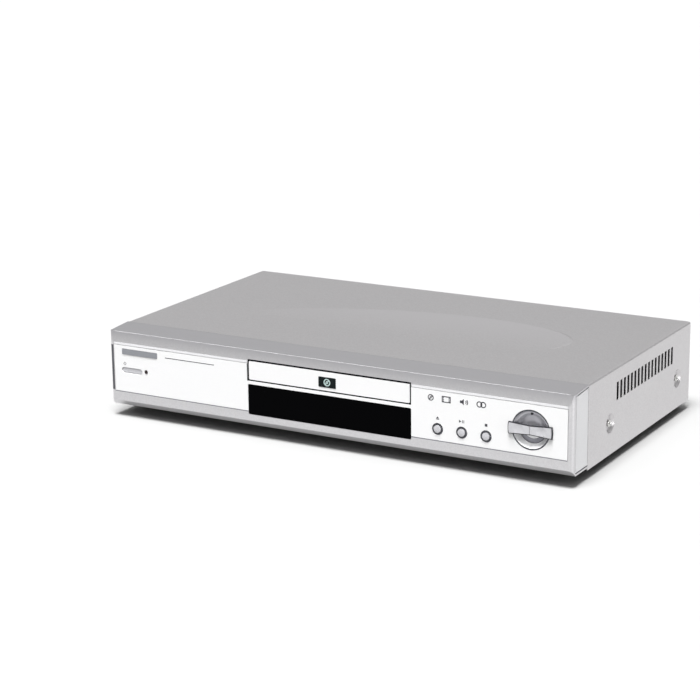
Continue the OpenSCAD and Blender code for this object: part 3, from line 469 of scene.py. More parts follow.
@dataclass(frozen=True)
class FlatCable(Finish):
    """Laminated flat cable: copper strips shimmer through the white film.

    Attributes:
        strip: Colour of a strip under the film.
        strip_mm: Pitch of the strips, drawn coarser than real ones so that they show.
        across: Axis that crosses the strips.
    """

    strip: str = "#c9bba2"
    strip_mm: float = 7.85
    across: str = "X"

    def paint(self, tree: bpy.types.NodeTree, place: Socket) -> Socket:
        """Draws the strips along the cable; see Finish.paint."""
        wave = add_node(
            tree, "ShaderNodeTexWave",
            {"Scale": wave_scale(self.strip_mm), "Distortion": 0.0},
            {"Vector": place}, bands_direction=self.across,
        )
        return self.mix(tree, wave.outputs["Fac"], linear(self.colour), linear(self.strip))


@dataclass(frozen=True)
class SocketColours(Finish):
    """Moulded insulators in the colours that tell the sockets apart.

    Attributes:
        columns: For each column its left edge and its colours from the lowest socket up.
        low: Height of the lowest sockets' centres.
        pitch: Distance between stacked sockets.
    """

    columns: tuple[tuple[float, tuple[str, ...]], ...] = ()
    low: float = 20.0
    pitch: float = 14.0

    def paint(self, tree: bpy.types.NodeTree, place: Socket) -> Socket:
        """Picks each socket's colour by its place; see Finish.paint."""
        axes = add_node(tree, "ShaderNodeSeparateXYZ", links={"Vector": place})
        colour: Union[Socket, Sequence[float]] = linear(self.colour)
        for left, stack in self.columns:
            column: Union[Socket, Sequence[float]] = linear(stack[0])
            for level, shade in enumerate(stack[1:]):
                edge = self.low + (level + 0.5) * self.pitch
                above = add_node(
                    tree, "ShaderNodeMath", {1: to_row(0.0, 0.0, edge).z}, {0: axes.outputs["Z"]},
                    operation="GREATER_THAN",
                )
                column = self.mix(tree, above.outputs[0], column, linear(shade))
            beyond = add_node(
                tree, "ShaderNodeMath", {1: left * MM}, {0: axes.outputs["X"]}, operation="GREATER_THAN",
            )
            colour = self.mix(tree, beyond.outputs[0], colour, column)
        return colour


class Sign(Enum):
    """Plain signs printed on the panels."""

    EJECT = "eject"
    PLAY_PAUSE = "play_pause"
    STOP = "stop"
    POWER = "power"
    DISC = "disc"
    FILM = "film"
    SPEAKER = "speaker"
    STEREO = "stereo"


class Stencil:
    """Flat shapes of one thickness, laid out in millimetres with u to the right and v up."""

    def __init__(self) -> None:
        """Starts with nothing on the sheet."""
        self.sheet = bmesh.new()

    def area(self, corners: Sequence[Point2]) -> bmesh.types.BMFace:
        """Adds a filled outline.

        Args:
            corners: Corners of the outline in order.

        Returns:
            The new face.
        """
        return self.sheet.faces.new([self.sheet.verts.new((u, v, 0.0)) for u, v in corners])

    def bar(self, left: float, low: float, right: float, high: float) -> None:
        """Adds an upright rectangle from its low left to its high right corner."""
        self.area(((left, low), (right, low), (right, high), (left, high)))

    def ring(
        self, centre: Point2, inner: float, outer: float, start: float = 0.0, turn: float = 360.0,
    ) -> None:
        """Adds a ring, or an arc of one.

        Args:
            centre: Centre of the ring.
            inner: Inner radius.
            outer: Outer radius.
            start: Angle of the arc's first end in degrees.
            turn: Angle that the arc covers in degrees.
        """
        whole = turn >= 360.0
        way = Vector((math.cos(math.radians(start)), math.sin(math.radians(start)), 0.0))
        hub = Vector((centre[0], centre[1], 0.0))
        ends = [self.sheet.verts.new(hub + way * radius) for radius in (inner, outer)]
        edge = self.sheet.edges.new(ends)
        bmesh.ops.spin(
            self.sheet, geom=ends + [edge], cent=hub, axis=UP,
            angle=math.radians(turn), steps=max(ARC_LEAST, int(turn / ARC_STEP)), use_merge=whole,
        )

    def outline(self, corners: Sequence[Point2], line: float) -> None:
        """Adds a line round an area, drawn inwards.

        Args:
            corners: Corners of the area in order.
            line: Width of the line.
        """
        face = self.area(corners)
        face.normal_update()
        bmesh.ops.inset_individual(self.sheet, faces=[face], thickness=line, use_even_offset=True)
        bmesh.ops.delete(self.sheet, geom=[face], context="FACES_ONLY")

    def frame(self, left: float, low: float, right: float, high: float, line: float) -> None:
        """Adds the outline of a rectangle with lines of one width, drawn inwards."""
        self.outline(((left, low), (right, low), (right, high), (left, high)), line)

    def sign(self, sign: Sign, at: Point2, size: float) -> None:
        """Adds a sign, drawn about one unit high round its centre and then scaled.

        Args:
            sign: Which sign.
            at: Its centre.
            size: Its height.
        """
        first = len(self.sheet.verts)
        if sign is Sign.EJECT:
            self.area(((-0.55, -0.1), (0.55, -0.1), (0.0, 0.5)))
            self.bar(-0.55, -0.5, 0.55, -0.25)
        elif sign is Sign.PLAY_PAUSE:
            self.area(((-0.95, -0.5), (-0.1, 0.0), (-0.95, 0.5)))
            self.bar(0.2, -0.5, 0.42, 0.5)
            self.bar(0.68, -0.5, 0.9, 0.5)
        elif sign is Sign.STOP:
            self.bar(-0.45, -0.45, 0.45, 0.45)
        elif sign is Sign.POWER:
            self.ring((0.0, -0.06), 0.32, 0.44, 125.0, 290.0)
            self.bar(-0.06, -0.05, 0.06, 0.5)
        elif sign is Sign.DISC:
            self.ring((0.0, 0.0), 0.36, 0.5)
            self.ring((0.0, 0.0), 0.06, 0.18)
            for start in (25.0, 205.0):
                self.ring((0.0, 0.0), 0.23, 0.34, start, 45.0)
        elif sign is Sign.FILM:
            self.frame(-0.75, -0.5, 0.75, 0.5, 0.15)
            for u in (-0.56, 0.4):
                for v in (-0.34, -0.08, 0.18):
                    self.bar(u, v, u + 0.16, v + 0.16)
        elif sign is Sign.SPEAKER:
            self.area(((-0.7, -0.2), (-0.4, -0.2), (-0.05, -0.5), (-0.05, 0.5), (-0.4, 0.2), (-0.7, 0.2)))
            for radius in (0.25, 0.5):
                self.ring((0.0, 0.0), radius, radius + 0.14, -40.0, 80.0)
        else:
            for u in (-0.32, 0.32):
                self.ring((u, 0.0), 0.32, 0.48)
        self.sheet.verts.ensure_lookup_table()
        fresh = self.sheet.verts[first:]
        bmesh.ops.scale(self.sheet, vec=(size, size, 1.0), verts=fresh)
        bmesh.ops.translate(self.sheet, vec=(at[0], at[1], 0.0), verts=fresh)

    def lay(self, origin: Point3, right: Point3, up: Point3, proud: float) -> bmesh.types.BMesh:
        """Gives the shapes their thickness and lays them on a panel.

        Args:
            origin: Where u and v are zero, in the case's frame.
            right: Direction of u.
            up: Direction of v.
            proud: Height above the panel.

        Returns:
            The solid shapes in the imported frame.
        """
        bmesh.ops.recalc_face_normals(self.sheet, faces=self.sheet.faces)
        for face in self.sheet.faces:
            if face.normal.z < 0.0:
                face.normal_flip()
        made = bmesh.ops.extrude_face_region(self.sheet, geom=list(self.sheet.faces), use_keep_orig=True)
        tops = [item for item in made["geom"] if isinstance(item, bmesh.types.BMVert)]
        bmesh.ops.translate(self.sheet, vec=(0.0, 0.0, proud + SUNK_MM), verts=tops)
        bmesh.ops.recalc_face_normals(self.sheet, faces=self.sheet.faces)
        out = Vector(right).cross(Vector(up))
        turn = Matrix((right, up, out)).transposed().to_4x4()
        base = to_row(*origin) - out * SUNK_MM * MM
        bmesh.ops.transform(
            self.sheet, matrix=Matrix.Translation(base) @ turn @ Matrix.Scale(MM, 4), verts=self.sheet.verts,
        )
        return self.sheet


@dataclass
class Bench:
    """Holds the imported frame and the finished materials, and puts pieces on their bodies."""

    nodes: dict[str, bpy.types.Object]
    materials: dict[Finish, bpy.types.Material] = field(default_factory=dict)

    def material(self, finish: Finish) -> bpy.types.Material:
        """Makes a finish once and gives it again later.

        Args:
            finish: Wanted finish.

        Returns:
            Its material.
        """
        if finish not in self.materials:
            self.materials[finish] = finish.build()
        return self.materials[finish]

    def dress(self, finish: Finish, *names: str) -> None:
        """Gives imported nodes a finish.

        Args:
            finish: Finish of all of them.
            *names: Names of the nodes.
        """
        for name in names:
            for slot in self.nodes[name].material_slots:
                slot.material = self.material(finish)
            LOG.info("dressed %s in %s", name, finish.name)

    def add(
        self, shape: bmesh.types.BMesh, name: str, body: str, slot: str, finish: Finish, smooth: bool = False,
    ) -> None:
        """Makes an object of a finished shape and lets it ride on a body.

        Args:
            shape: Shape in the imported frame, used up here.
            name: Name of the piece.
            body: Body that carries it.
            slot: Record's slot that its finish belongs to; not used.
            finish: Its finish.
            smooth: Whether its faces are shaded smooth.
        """
        mesh = bpy.data.meshes.new(name)
        for face in shape.faces:
            face.smooth = smooth
        shape.to_mesh(mesh)
        shape.free()
        mesh.materials.append(self.material(finish))
        piece = bpy.data.objects.new(name, mesh)
        bpy.context.scene.collection.objects.link(piece)
        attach(piece, body)
        LOG.info("made %s on %s, %d faces", name, body, len(mesh.polygons))


def lathe(
    outline: Sequence[Point2], centre: Point3, axis: Point3, side: Point3, steps: int = 48,
    turn: float = 360.0,
) -> bmesh.types.BMesh:
    """Turns a closed outline into a ring, a round plate or an arc of one.

    Args:
        outline: Points as radius and height along the axis, in millimetres.
        centre: Point of the axis at height zero, in the case's frame.
        axis: Direction of the axis.
        side: Direction of the radius at the start of the turn.
        steps: Number of faces round the axis.
        turn: Angle that the shape covers in degrees.

    Returns:
        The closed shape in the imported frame.
    """
    shape = bmesh.new()
    hub = to_row(*centre)
    verts = [shape.verts.new(hub + (Vector(side) * r + Vector(axis) * h) * MM) for r, h in outline]
    edges = [shape.edges.new((a, b)) for a, b in zip(verts, verts[1:] + verts[:1])]
    bmesh.ops.spin(
        shape, geom=verts + edges, cent=hub, axis=axis, angle=math.radians(turn), steps=steps,
        use_merge=turn >= 360.0,
    )
    bmesh.ops.remove_doubles(shape, verts=shape.verts, dist=SAME_PLACE)
    bmesh.ops.holes_fill(shape, edges=[edge for edge in shape.edges if edge.is_boundary])
    bmesh.ops.recalc_face_normals(shape, faces=shape.faces)
    return shape


# Sprayed sheet steel: an even grey sheen that glitters faintly close up; the raised field is painted paler, a
# painted highlight
COVER_PAINT = HeightShadedPaint(
    "Sprayed silver paint on sheet steel", "#bfbdbf", "#c1bfc0", patch_mm=90.0, rough=0.36,
    rough_spread=0.01, grain_mm=1.6, grain_deep_mm=0.006, edge_mm=0.5, metallic=0.85, rise_mm=(76.9, 78.0),
    painted_crown="#cac8ca",
)
# Powder-coated steel: duller and darker, with a fine dry grain
REAR_PAINT = SprayedPaint(
    "Powder coat on sheet steel", "#9a9c9e", "#a3a5a6", patch_mm=60.0, rough=0.55, rough_spread=0.05,
    grain_mm=0.8, grain_deep_mm=0.02, edge_mm=0.3, flake_share=0.05,
)
# Lacquered ABS: silver with a soft satin glow and hardly any grain; painted darker towards its top, a painted
# shade
PANEL_LACQUER = HeightShadedPaint(
    "Silver lacquer on moulded ABS", "#c6c5c7", "#c8c7c9", patch_mm=80.0, rough=0.39, rough_spread=0.01,
    grain_mm=1.2, grain_deep_mm=0.004, edge_mm=0.5, metallic=0.87, rise_mm=(67.0, 76.0), painted_crown="#bab9bc",
)
# The end caps are moulded apart and look paler than the panel; the same pale lacquer paints the highlight
# along the panel's upper edge
CAP_LACQUER = SprayedPaint(
    "Pale silver lacquer on moulded ABS", "#e4e4e6", "#e7e7e9", patch_mm=60.0, rough=0.4, rough_spread=0.04,
    grain_mm=1.2, grain_deep_mm=0.004, edge_mm=0.5, metallic=0.15,
)
# The face plate is brighter and whiter than the panel round it
FACE_LACQUER = SprayedPaint(
    "Pearl lacquer on moulded ABS", "#ededee", "#eeeeee", patch_mm=120.0, rough=0.3, rough_spread=0.01,
    grain_mm=1.2, grain_deep_mm=0.003, edge_mm=0.3, coat=0.1, coat_rough=0.15, flake_share=0.06,
)
KEY_LACQUER = SprayedPaint(
    "Silver lacquer on moulded keys", "#bcbcc0", "#c4c4c8", patch_mm=12.0, rough=0.3, rough_spread=0.03,
    grain_mm=0.8, grain_deep_mm=0.004, edge_mm=0.3, metallic=0.35, flake_mm=0.5,
)
DISH_LACQUER = SprayedPaint(
    "Satin lacquer on a moulded dish", "#e6e6e8", "#ededee", patch_mm=14.0, rough=0.34, rough_spread=0.04,
    grain_mm=0.8, grain_deep_mm=0.004, edge_mm=0.3, metallic=0.1, coat=0.2, flake_mm=0.5,
)
# Smoked acrylic: black and glassy, with soft ripples from casting
WINDOW_ACRYLIC = ClearPlastic(
    "Smoked cast acrylic", "#010102", "#020203", patch_mm=30.0, rough=0.08, rough_spread=0.03,
    grain_mm=14.0, grain_deep_mm=0.004, edge_mm=0.3, ior=1.49, specular=0.02,
)
LAMP_LENS = ClearPlastic(
    "Moulded dark red acrylic", "#210d0d", "#2c1211", patch_mm=4.0, rough=0.2, rough_spread=0.03,
    grain_mm=1.0, grain_deep_mm=0.004, edge_mm=0.15, ior=1.49, through=0.25,
)
LENS_GLASS = ClearPlastic(
    "Coated moulded glass", "#4a5f8c", "#5d6fa0", patch_mm=3.0, rough=0.04, rough_spread=0.01, grain_mm=2.0,
    grain_deep_mm=0.001, edge_mm=0.1, ior=1.58, through=0.55,
)
TUBE_GLASS = ClearPlastic(
    "Dark tube glass", "#1c262c", "#26323a", patch_mm=16.0, rough=0.1, rough_spread=0.02, grain_mm=9.0,
    grain_deep_mm=0.003, edge_mm=0.3, ior=1.52,
)
# Zinc on sheet steel: cool grey crystals of a few millimetres
CHASSIS_STEEL = RolledSteel(
    "Zinc-plated sheet steel", "#8f9396", "#a9acae", patch_mm=40.0, rough=0.4, rough_spread=0.06,
    grain_mm=0.6, grain_deep_mm=0.004, edge_mm=0.3,
)
PLATED_STEEL = RolledSteel(
    "Bright-plated pressed steel", "#b0b3b5", "#c3c5c6", patch_mm=30.0, rough=0.3, rough_spread=0.05,
    grain_mm=0.5, grain_deep_mm=0.003, edge_mm=0.25, spangle_mm=2.5,
)
SCREW_STEEL = TurnedMetal(
    "Plated cold-headed steel", "#c4c4c1", "#d2d2cf", patch_mm=3.0, rough=0.3, rough_spread=0.06,
    grain_mm=0.4, grain_deep_mm=0.006, edge_mm=0.15,
)
NICKEL = TurnedMetal(
    "Nickel plate on turned brass", "#d8d6cf", "#e4e2da", patch_mm=5.0, rough=0.18, rough_spread=0.05,
    grain_mm=0.5, grain_deep_mm=0.003, edge_mm=0.15, stretch=(1.0, 0.05, 1.0),
)
SINK_ALUMINIUM = TurnedMetal(
    "Extruded aluminium", "#b2b5b8", "#c2c5c7", patch_mm=12.0, rough=0.38, rough_spread=0.06, grain_mm=0.4,
    grain_deep_mm=0.006, edge_mm=0.2,
)
DIE_CAST = Finish(
    "Die-cast zinc", "#8a8e91", "#9a9d9f", patch_mm=9.0, rough=0.48, rough_spread=0.07, grain_mm=0.7,
    grain_deep_mm=0.02, edge_mm=0.3, metallic=1.0,
)
BRASS = TurnedMetal(
    "Hobbed brass", "#c9a24c", "#d6b363", patch_mm=3.0, rough=0.28, rough_spread=0.05, grain_mm=0.3,
    grain_deep_mm=0.004, edge_mm=0.08,
)
# Moulded plastics: a dull spark-eroded grain
FOOT_PLASTIC = Finish(
    "Moulded dark ABS", "#303235", "#3a3c3f", patch_mm=18.0, rough=0.6, rough_spread=0.07, grain_mm=0.5,
    grain_deep_mm=0.025, edge_mm=0.4,
)
BLACK_PLASTIC = Finish(
    "Moulded black nylon", "#17171a", "#202024", patch_mm=10.0, rough=0.5, rough_spread=0.08, grain_mm=0.5,
    grain_deep_mm=0.02, edge_mm=0.25,
)
TRAY_PLASTIC = Finish(
    "Moulded charcoal polystyrene", "#303136", "#393a40", patch_mm=30.0, rough=0.52, rough_spread=0.06,
    grain_mm=0.45, grain_deep_mm=0.02, edge_mm=0.4,
)
IVORY_PLASTIC = Finish(
    "Moulded ivory acetal", "#b6b4a9", "#bebbb0", patch_mm=10.0, rough=0.38, rough_spread=0.06,
    grain_mm=0.5, grain_deep_mm=0.008, edge_mm=0.2,
)
RUBBER = Finish(
    "Ground neoprene", "#17171a", "#242427", patch_mm=6.0, rough=0.75, rough_spread=0.08, grain_mm=0.3,
    grain_deep_mm=0.03, edge_mm=0.2,
)
FERRITE = Finish(
    "Ground ferrite", "#37322e", "#453f39", patch_mm=8.0, rough=0.5, rough_spread=0.08, grain_mm=0.5,
    grain_deep_mm=0.015, edge_mm=0.3,
)
CAN_SLEEVE = Finish(
    "Shrunk vinyl sleeve", "#23324f", "#2b3c5e", patch_mm=12.0, rough=0.3, rough_spread=0.05, grain_mm=2.0,
    grain_deep_mm=0.01, edge_mm=0.25,
)
# Boards: a lacquer with paler tracks under it
GREEN_BOARD = CircuitBoard(
    "Green lacquer on glass-epoxy board", "#1c4426", "#214d2c", patch_mm=20.0, rough=0.34,
    rough_spread=0.05, grain_mm=0.6, grain_deep_mm=0.01, edge_mm=0.2,
)
BROWN_BOARD = CircuitBoard(
    "Bare paper-phenolic board", "#71572c", "#7b6034", patch_mm=20.0, rough=0.5, rough_spread=0.06,
    grain_mm=0.6, grain_deep_mm=0.01, edge_mm=0.2, track="#846a3d", track_mm=8.8,
)
# Flat cables: white film with a faint warm shimmer of copper; the harness has red wires between white ones
FRONT_CABLE = FlatCable("Laminated flat cable along the board", "#b4b4ae", "#acaca5", rough=0.35)
SIDE_CABLE = FlatCable(
    "Laminated flat cable across the frame", "#b4b4ae", "#acaca5", rough=0.35, across="Y",
)
SLEEVED_WIRE = FlatCable(
    "Sleeved tinned wire", "#d8d2c2", "#c9c3b4", rough=0.4, strip="#8f2f2a", strip_mm=20.1, across="Y",
)
# Insulators of the sockets: plain moulded colours, one to a socket
INSULATORS = SocketColours(
    "Moulded coloured ABS", "#2c4fa0", "#2c4fa0", rough=0.4, grain_mm=0.6,
    columns=((147.0, ("#b3242a", "#2b52a8", "#2d8a48")), (165.0, ("#d8742a", "#e3bd2d")),
             (183.0, ("#b3242a", "#ecebe6"))),
)
# Printed inks and the badge: flat and dull, hardly raised
SIGN_INK = Finish(
    "Pad-printed dark ink", "#37373c", "#414147", patch_mm=4.0, rough=0.6, rough_spread=0.04, grain_mm=0.4,
    grain_deep_mm=0.002, edge_mm=0.02,
)
PALE_INK = Finish(
    "Pad-printed pale ink", "#b4cbc8", "#c2d6d3", patch_mm=4.0, rough=0.6, rough_spread=0.04, grain_mm=0.4,
    grain_deep_mm=0.002, edge_mm=0.02,
)
BADGE_ENAMEL = Finish(
    "Stoved dark enamel", "#0b1213", "#10191a", patch_mm=6.0, rough=0.4, rough_spread=0.03, grain_mm=2.0,
    grain_deep_mm=0.003, edge_mm=0.15, specular=0.1,
)
PLATE_METAL = TurnedMetal(
    "Brushed aluminium plate", "#8d8f94", "#9c9ea3", patch_mm=8.0, rough=0.34, rough_spread=0.05,
    grain_mm=0.35, grain_deep_mm=0.006, edge_mm=0.15, stretch=(0.04, 1.0, 1.0),
)
# Dark lines round buttons, dish, door and skip keys: chrome rings round the buttons, dark also as painted
# shade in their gaps, a dark line round the dish, and black strips and black plastic that paint the shade in
# the door's gap and round the keys
CHROME_AND_SHADE_RING = TurnedMetal(
    "Black-chromed ring darkened for painted shade", "#4c4d52", "#58595e", patch_mm=4.0, rough=0.3, rough_spread=0.04, grain_mm=0.4,
    grain_deep_mm=0.003, edge_mm=0.1, stretch=(1.0, 0.1, 1.0),
)
DOOR_GAP_SHADE = Finish(
    "Black strips painting the shade in the door's gap", "#0d0d0f", "#17171a", patch_mm=5.0, rough=0.95, rough_spread=0.03, grain_mm=0.35,
    grain_deep_mm=0.12, edge_mm=0.1, specular=0.1,
)
SHADE_AND_MARK_BLACK = Finish(
    "Black plastic painting shade lines and the dish's mark", "#26262b", "#303035", patch_mm=6.0, rough=0.55, rough_spread=0.05, grain_mm=0.5,
    grain_deep_mm=0.01, edge_mm=0.1,
)
# Painted shade in the dish: a satin grey skin above the keys, and a darker skin below them painted as the
# keys' shadow
DISH_UPPER_SHADE = Finish(
    "Satin grey lacquer painting the shade in the dish", "#bcbcc3", "#d2d1d6", patch_mm=9.0, rough=0.42, rough_spread=0.06,
    grain_mm=0.7, grain_deep_mm=0.006, edge_mm=0.1, metallic=0.5,
)
DISH_SHADE = Finish(
    "Dark lacquer painting the keys' shadow in the dish", "#7a7a81", "#8e8e95", patch_mm=9.0, rough=0.42, rough_spread=0.06,
    grain_mm=0.7, grain_deep_mm=0.006, edge_mm=0.1, metallic=0.2,
)
# Grey line along the face plate: a dull strip that paints the shade of the seam
SEAM_SHADE = Finish(
    "Grey strip painting the seam's shade", "#77777d", "#828288", patch_mm=6.0, rough=0.7, rough_spread=0.05, grain_mm=0.4,
    grain_deep_mm=0.01, edge_mm=0.1,
)
# Dark end of the face plate: a satin strip that turns round the corner, painted shade where the corner turns
# away from the light
END_SHADE = Finish(
    "Satin graphite strip painting the corner's shade", "#3d3d44", "#46464d", patch_mm=12.0, rough=0.4, rough_spread=0.04,
    grain_mm=0.6, grain_deep_mm=0.004, edge_mm=0.15,
)


class Assembly:
    """A part of the player that gets finishes and small pieces."""

    def dress(self, bench: Bench) -> None:
        """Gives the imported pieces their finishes; every sub-assembly has its own way."""
        raise NotImplementedError

    def build(self, bench: Bench) -> None:
        """Adds small pieces, where the sub-assembly has any."""


@dataclass
class Cabinet(Assembly):
    """Cover, floor, rear panel and feet."""

    foot_x: float = 169.0
    foot_y: tuple[float, float] = (46.0, 206.0)
    foot_h: float = 8.0
    pad_r: float = 11.6
    pad_t: float = 1.1
    pad_top: float = 1.4
    pad_rim: Point2 = (0.5, 0.4)
    pad_ribs: tuple[Point2, ...] = (
        (8.4, 0.0), (7.9, 0.5), (7.2, 0.5), (6.7, 0.0), (3.4, 0.0), (2.9, 0.5), (0.0, 0.5),
    )

    def dress(self, bench: Bench) -> None:
        """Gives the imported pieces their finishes.

        Args:
            bench: Bench with the nodes.
        """
        bench.dress(COVER_PAINT, "top_cover")
        bench.dress(CHASSIS_STEEL, "bottom_chassis")
        bench.dress(REAR_PAINT, "rear_panel")
        bench.dress(FOOT_PLASTIC, "feet")
        bench.dress(SCREW_STEEL, "cover_screws", "board_screws")

    def build(self, bench: Bench) -> None:
        """Adds the ribbed rubber pads in the hollows of the feet.

        Args:
            bench: Bench that takes the pieces.
        """
        low = self.pad_top - self.pad_t
        inward, upward = self.pad_rim
        outline = [
            (0.0, self.pad_top), (self.pad_r, self.pad_top),
            (self.pad_r, low + upward), (self.pad_r - inward, low),
            *((radius, low + deep) for radius, deep in self.pad_ribs),
        ]
        for side, x in (("left", -self.foot_x), ("right", self.foot_x)):
            for end, y in zip(("front", "rear"), self.foot_y):
                pad = lathe(outline, (x, y, -self.foot_h), UP, RIGHT)
                bench.add(pad, f"foot_pad_{side}_{end}", "case", "belt_rubber", RUBBER)


@dataclass
class FrontPanel(Assembly):
    """Moulded panel with its face plate, window, door and keys."""

    # Buttons: ring_form holds steps outwards and backwards from the edge of a hole
    button_x: tuple[float, float, float] = (99.4, 120.5, 141.6)
    button_z: float = 24.8
    button_r: float = 3.6
    ring_clear: float = 0.03
    ring_form: tuple[Point2, ...] = (
        (0.0, 0.3), (0.0, -0.22), (0.25, -0.36), (0.8, -0.32), (1.2, -0.05),
        (1.2, SUNK_MM), (0.05, SUNK_MM), (0.05, 0.3),
    )
    # Signs over the buttons and the power bar, the row of pictures and the rule: heights and centres
    sign_z: float = 33.8
    sign_h: float = 2.4
    power_sign: Point2 = (-199.6, 40.2)
    power_sign_h: float = 3.0
    row_x: tuple[float, ...] = (93.4, 107.0, 122.6, 137.4)
    row_z: float = 49.8
    row_h: float = 5.2
    rule: Edges = (-158.0, 49.9, -109.0, 50.5)
    # Badge on the door and plate on the face: left, low, right and high side
    badge: Edges = (-8.5, 45.2, 7.6, 53.7)
    badge_proud: float = 0.3
    badge_sign_h: float = 6.2
    plate: Edges = (-202.0, 48.2, -166.0, 53.2)
    plate_proud: float = 0.35
    plate_corner: float = 0.6
    plate_round: float = 0.12
    # Dish: centre, radius, form as radius and depth, then the line round it, its skins of painted shade and
    # its dot
    dish: Point2 = (179.5, 35.4)
    dish_r: float = 15.5
    dish_form: tuple[Point2, ...] = ((15.1, 0.0), (11.8, 4.1), (10.5, 5.0), (8.0, 4.5), (2.5, 3.4))
    dish_rim: Point2 = (0.45, 0.7)
    rim_round: Point2 = (0.1, 0.04)
    rim_t: float = 0.1
    skin_clear: float = 0.05
    skin_rise: Point2 = (0.13, 0.04)
    upper_shade: tuple[int, int, float] = (0, 5, 16.0)
    lower_shadow: tuple[int, int, float] = (1, 4, 200.0)
    dish_dot: Point2 = (0.0, 12.6)
    dot_form: tuple[Point2, ...] = ((0.0, -3.2), (1.0, -3.2), (1.0, -1.6), (0.75, -1.4), (0.0, -1.3))
    # Skip keys: half length and half height at the ends, half height in the middle, and the black frame that
    # paints their shade
    key_end: Point2 = (18.1, 4.1)
    key_mid: float = 3.0
    key_clear: float = 0.15
    key_shade_line: float = 0.6
    key_shade_proud: float = 1.45
    # Face plate and the strips along it, some of them painted shade
    face: Edges = (-210.3, 15.4, 210.3, 55.8)
    shade_line_width: float = 0.75
    seam_shade_clear: float = 0.05
    brow: Point2 = (56.2, 58.3)
    brow_clear: float = 0.6
    window_half: float = 76.2
    # Painted highlight along the panel's upper edge: y and z of its middle
    edge: Point2 = (1.9, 67.19)
    highlight_width: float = 0.24
    # Door and the black strips that paint the shade in the gap round it: gap at the sides and gap at the top
    door: Edges = (-74.7, 42.4, 74.7, 58.0)
    door_gap: Point2 = (1.2, 1.5)
    gap_shade_clear: float = 0.2
    gap_shade_back: float = 2.4
    gap_shade_t: float = 2.25
    # Strip of painted shade round the panel's left corner: x where the corner starts, and its radius
    corner: Point2 = (-211.0, 4.0)
    end_shade_clear: float = 0.3
    end_shade_turn: float = 78.0
    end_shade_rise: Point2 = (0.06, 0.1)
    end_shade_round: float = 0.2

    def dress(self, bench: Bench) -> None:
        """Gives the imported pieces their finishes.

        Args:
            bench: Bench with the nodes.
        """
        bench.dress(PANEL_LACQUER, "front_bezel")
        bench.dress(CAP_LACQUER, "end_caps")
        bench.dress(FACE_LACQUER, "fascia_plate", "tray_door")
        bench.dress(WINDOW_ACRYLIC, "display_window")
        bench.dress(KEY_LACQUER, "power_button", "open_button", "play_button", "stop_button")
        bench.dress(KEY_LACQUER, "skip_back_key", "skip_forward_key")
        bench.dress(DISH_LACQUER, "skip_dish")
        bench.dress(LAMP_LENS, "standby_lens")

    def build(self, bench: Bench) -> None:
        """Adds the signs, the two plates, the lines round the keys and the strips on the panel, with pieces
        that paint shade round the keys, in the dish and in the gaps, and a painted highlight along the upper
        edge.

        Args:
            bench: Bench that takes the pieces.
        """
        bench.add(self.printed_signs(), "face_signs", "case", "face_plate", SIGN_INK)
        badge = self.raised_plate(self.badge, self.badge_proud)
        bench.add(badge, "door_badge", "tray", "window_acrylic", BADGE_ENAMEL)
        bench.add(self.badge_sign(), "door_badge_sign", "tray", "face_plate", PALE_INK)
        plate = self.raised_plate(self.plate, self.plate_proud)
        bench.add(plate, "bare_name_plate", "case", "plated_steel", PLATE_METAL)
        # Dark rings round the buttons: chrome, and painted shade of their gaps
        for name, x in zip(("open", "play", "stop"), self.button_x):
            bench.add(self.button_ring(x), f"{name}_button_ring", "case", "nickel", CHROME_AND_SHADE_RING, smooth=True)
        # Skins that paint the shade in the dish: grey above the keys, and darker below them as the keys'
        # shadow
        for name, skin, finish in (
            ("dish_upper_shade", self.upper_shade, DISH_UPPER_SHADE), ("dish_lower_shadow", self.lower_shadow, DISH_SHADE),
        ):
            bench.add(self.dish_shade_skin(*skin), name, "case", "panel_plastic", finish, smooth=True)
        bench.add(self.dish_line(), "dish_rim_line", "case", "black_plastic", CHROME_AND_SHADE_RING, smooth=True)
        bench.add(self.dish_point(), "dish_dot", "case", "black_plastic", SHADE_AND_MARK_BLACK)
        # Black frame painting the shade round the skip keys
        bench.add(self.key_shade(), "skip_key_shade", "case", "black_plastic", SHADE_AND_MARK_BLACK)
        # Black strips painting the shade in the door's gap
        bench.add(self.door_gap_shade(), "door_gap_shade", "case", "belt_rubber", DOOR_GAP_SHADE)
        # Dark strip painting the shade along the door's left side
        bench.add(self.door_side_shade_strip(), "door_side_shade", "case", "black_plastic", SHADE_AND_MARK_BLACK)
        bench.add(self.brow_strips(), "face_brow_strips", "case", "panel_plastic", CAP_LACQUER)
        # Grey strips painting the shade of the seam below the face plate
        bench.add(self.seam_shade_strip(), "face_seam_shade_strip", "case", "belt_rubber", SEAM_SHADE)
        # Pale line painting the highlight along the panel's upper edge
        bench.add(self.edge_highlight_strip(), "panel_edge_highlight", "case", "panel_plastic", CAP_LACQUER)
        # Dark strip painting the shade round the face plate's left corner
        bench.add(self.end_shade_strip(), "face_end_shade", "case", "panel_plastic", END_SHADE, smooth=True)

    def printed_signs(self) -> bmesh.types.BMesh:
        """Draws the signs over the keys and the row of plain pictures beside the door.

        Returns:
            Thin solid ink on the face plate.
        """
        ink = Stencil()
        for x, sign in zip(self.button_x, (Sign.EJECT, Sign.PLAY_PAUSE, Sign.STOP)):
            ink.sign(sign, (x, self.sign_z), self.sign_h)
        ink.sign(Sign.POWER, self.power_sign, self.power_sign_h)
        for x, sign in zip(self.row_x, (Sign.DISC, Sign.FILM, Sign.SPEAKER, Sign.STEREO)):
            ink.sign(sign, (x, self.row_z), self.row_h)
        ink.bar(*self.rule)
        return ink.lay((0.0, 0.0, 0.0), proud=INK_MM, **FRONT)

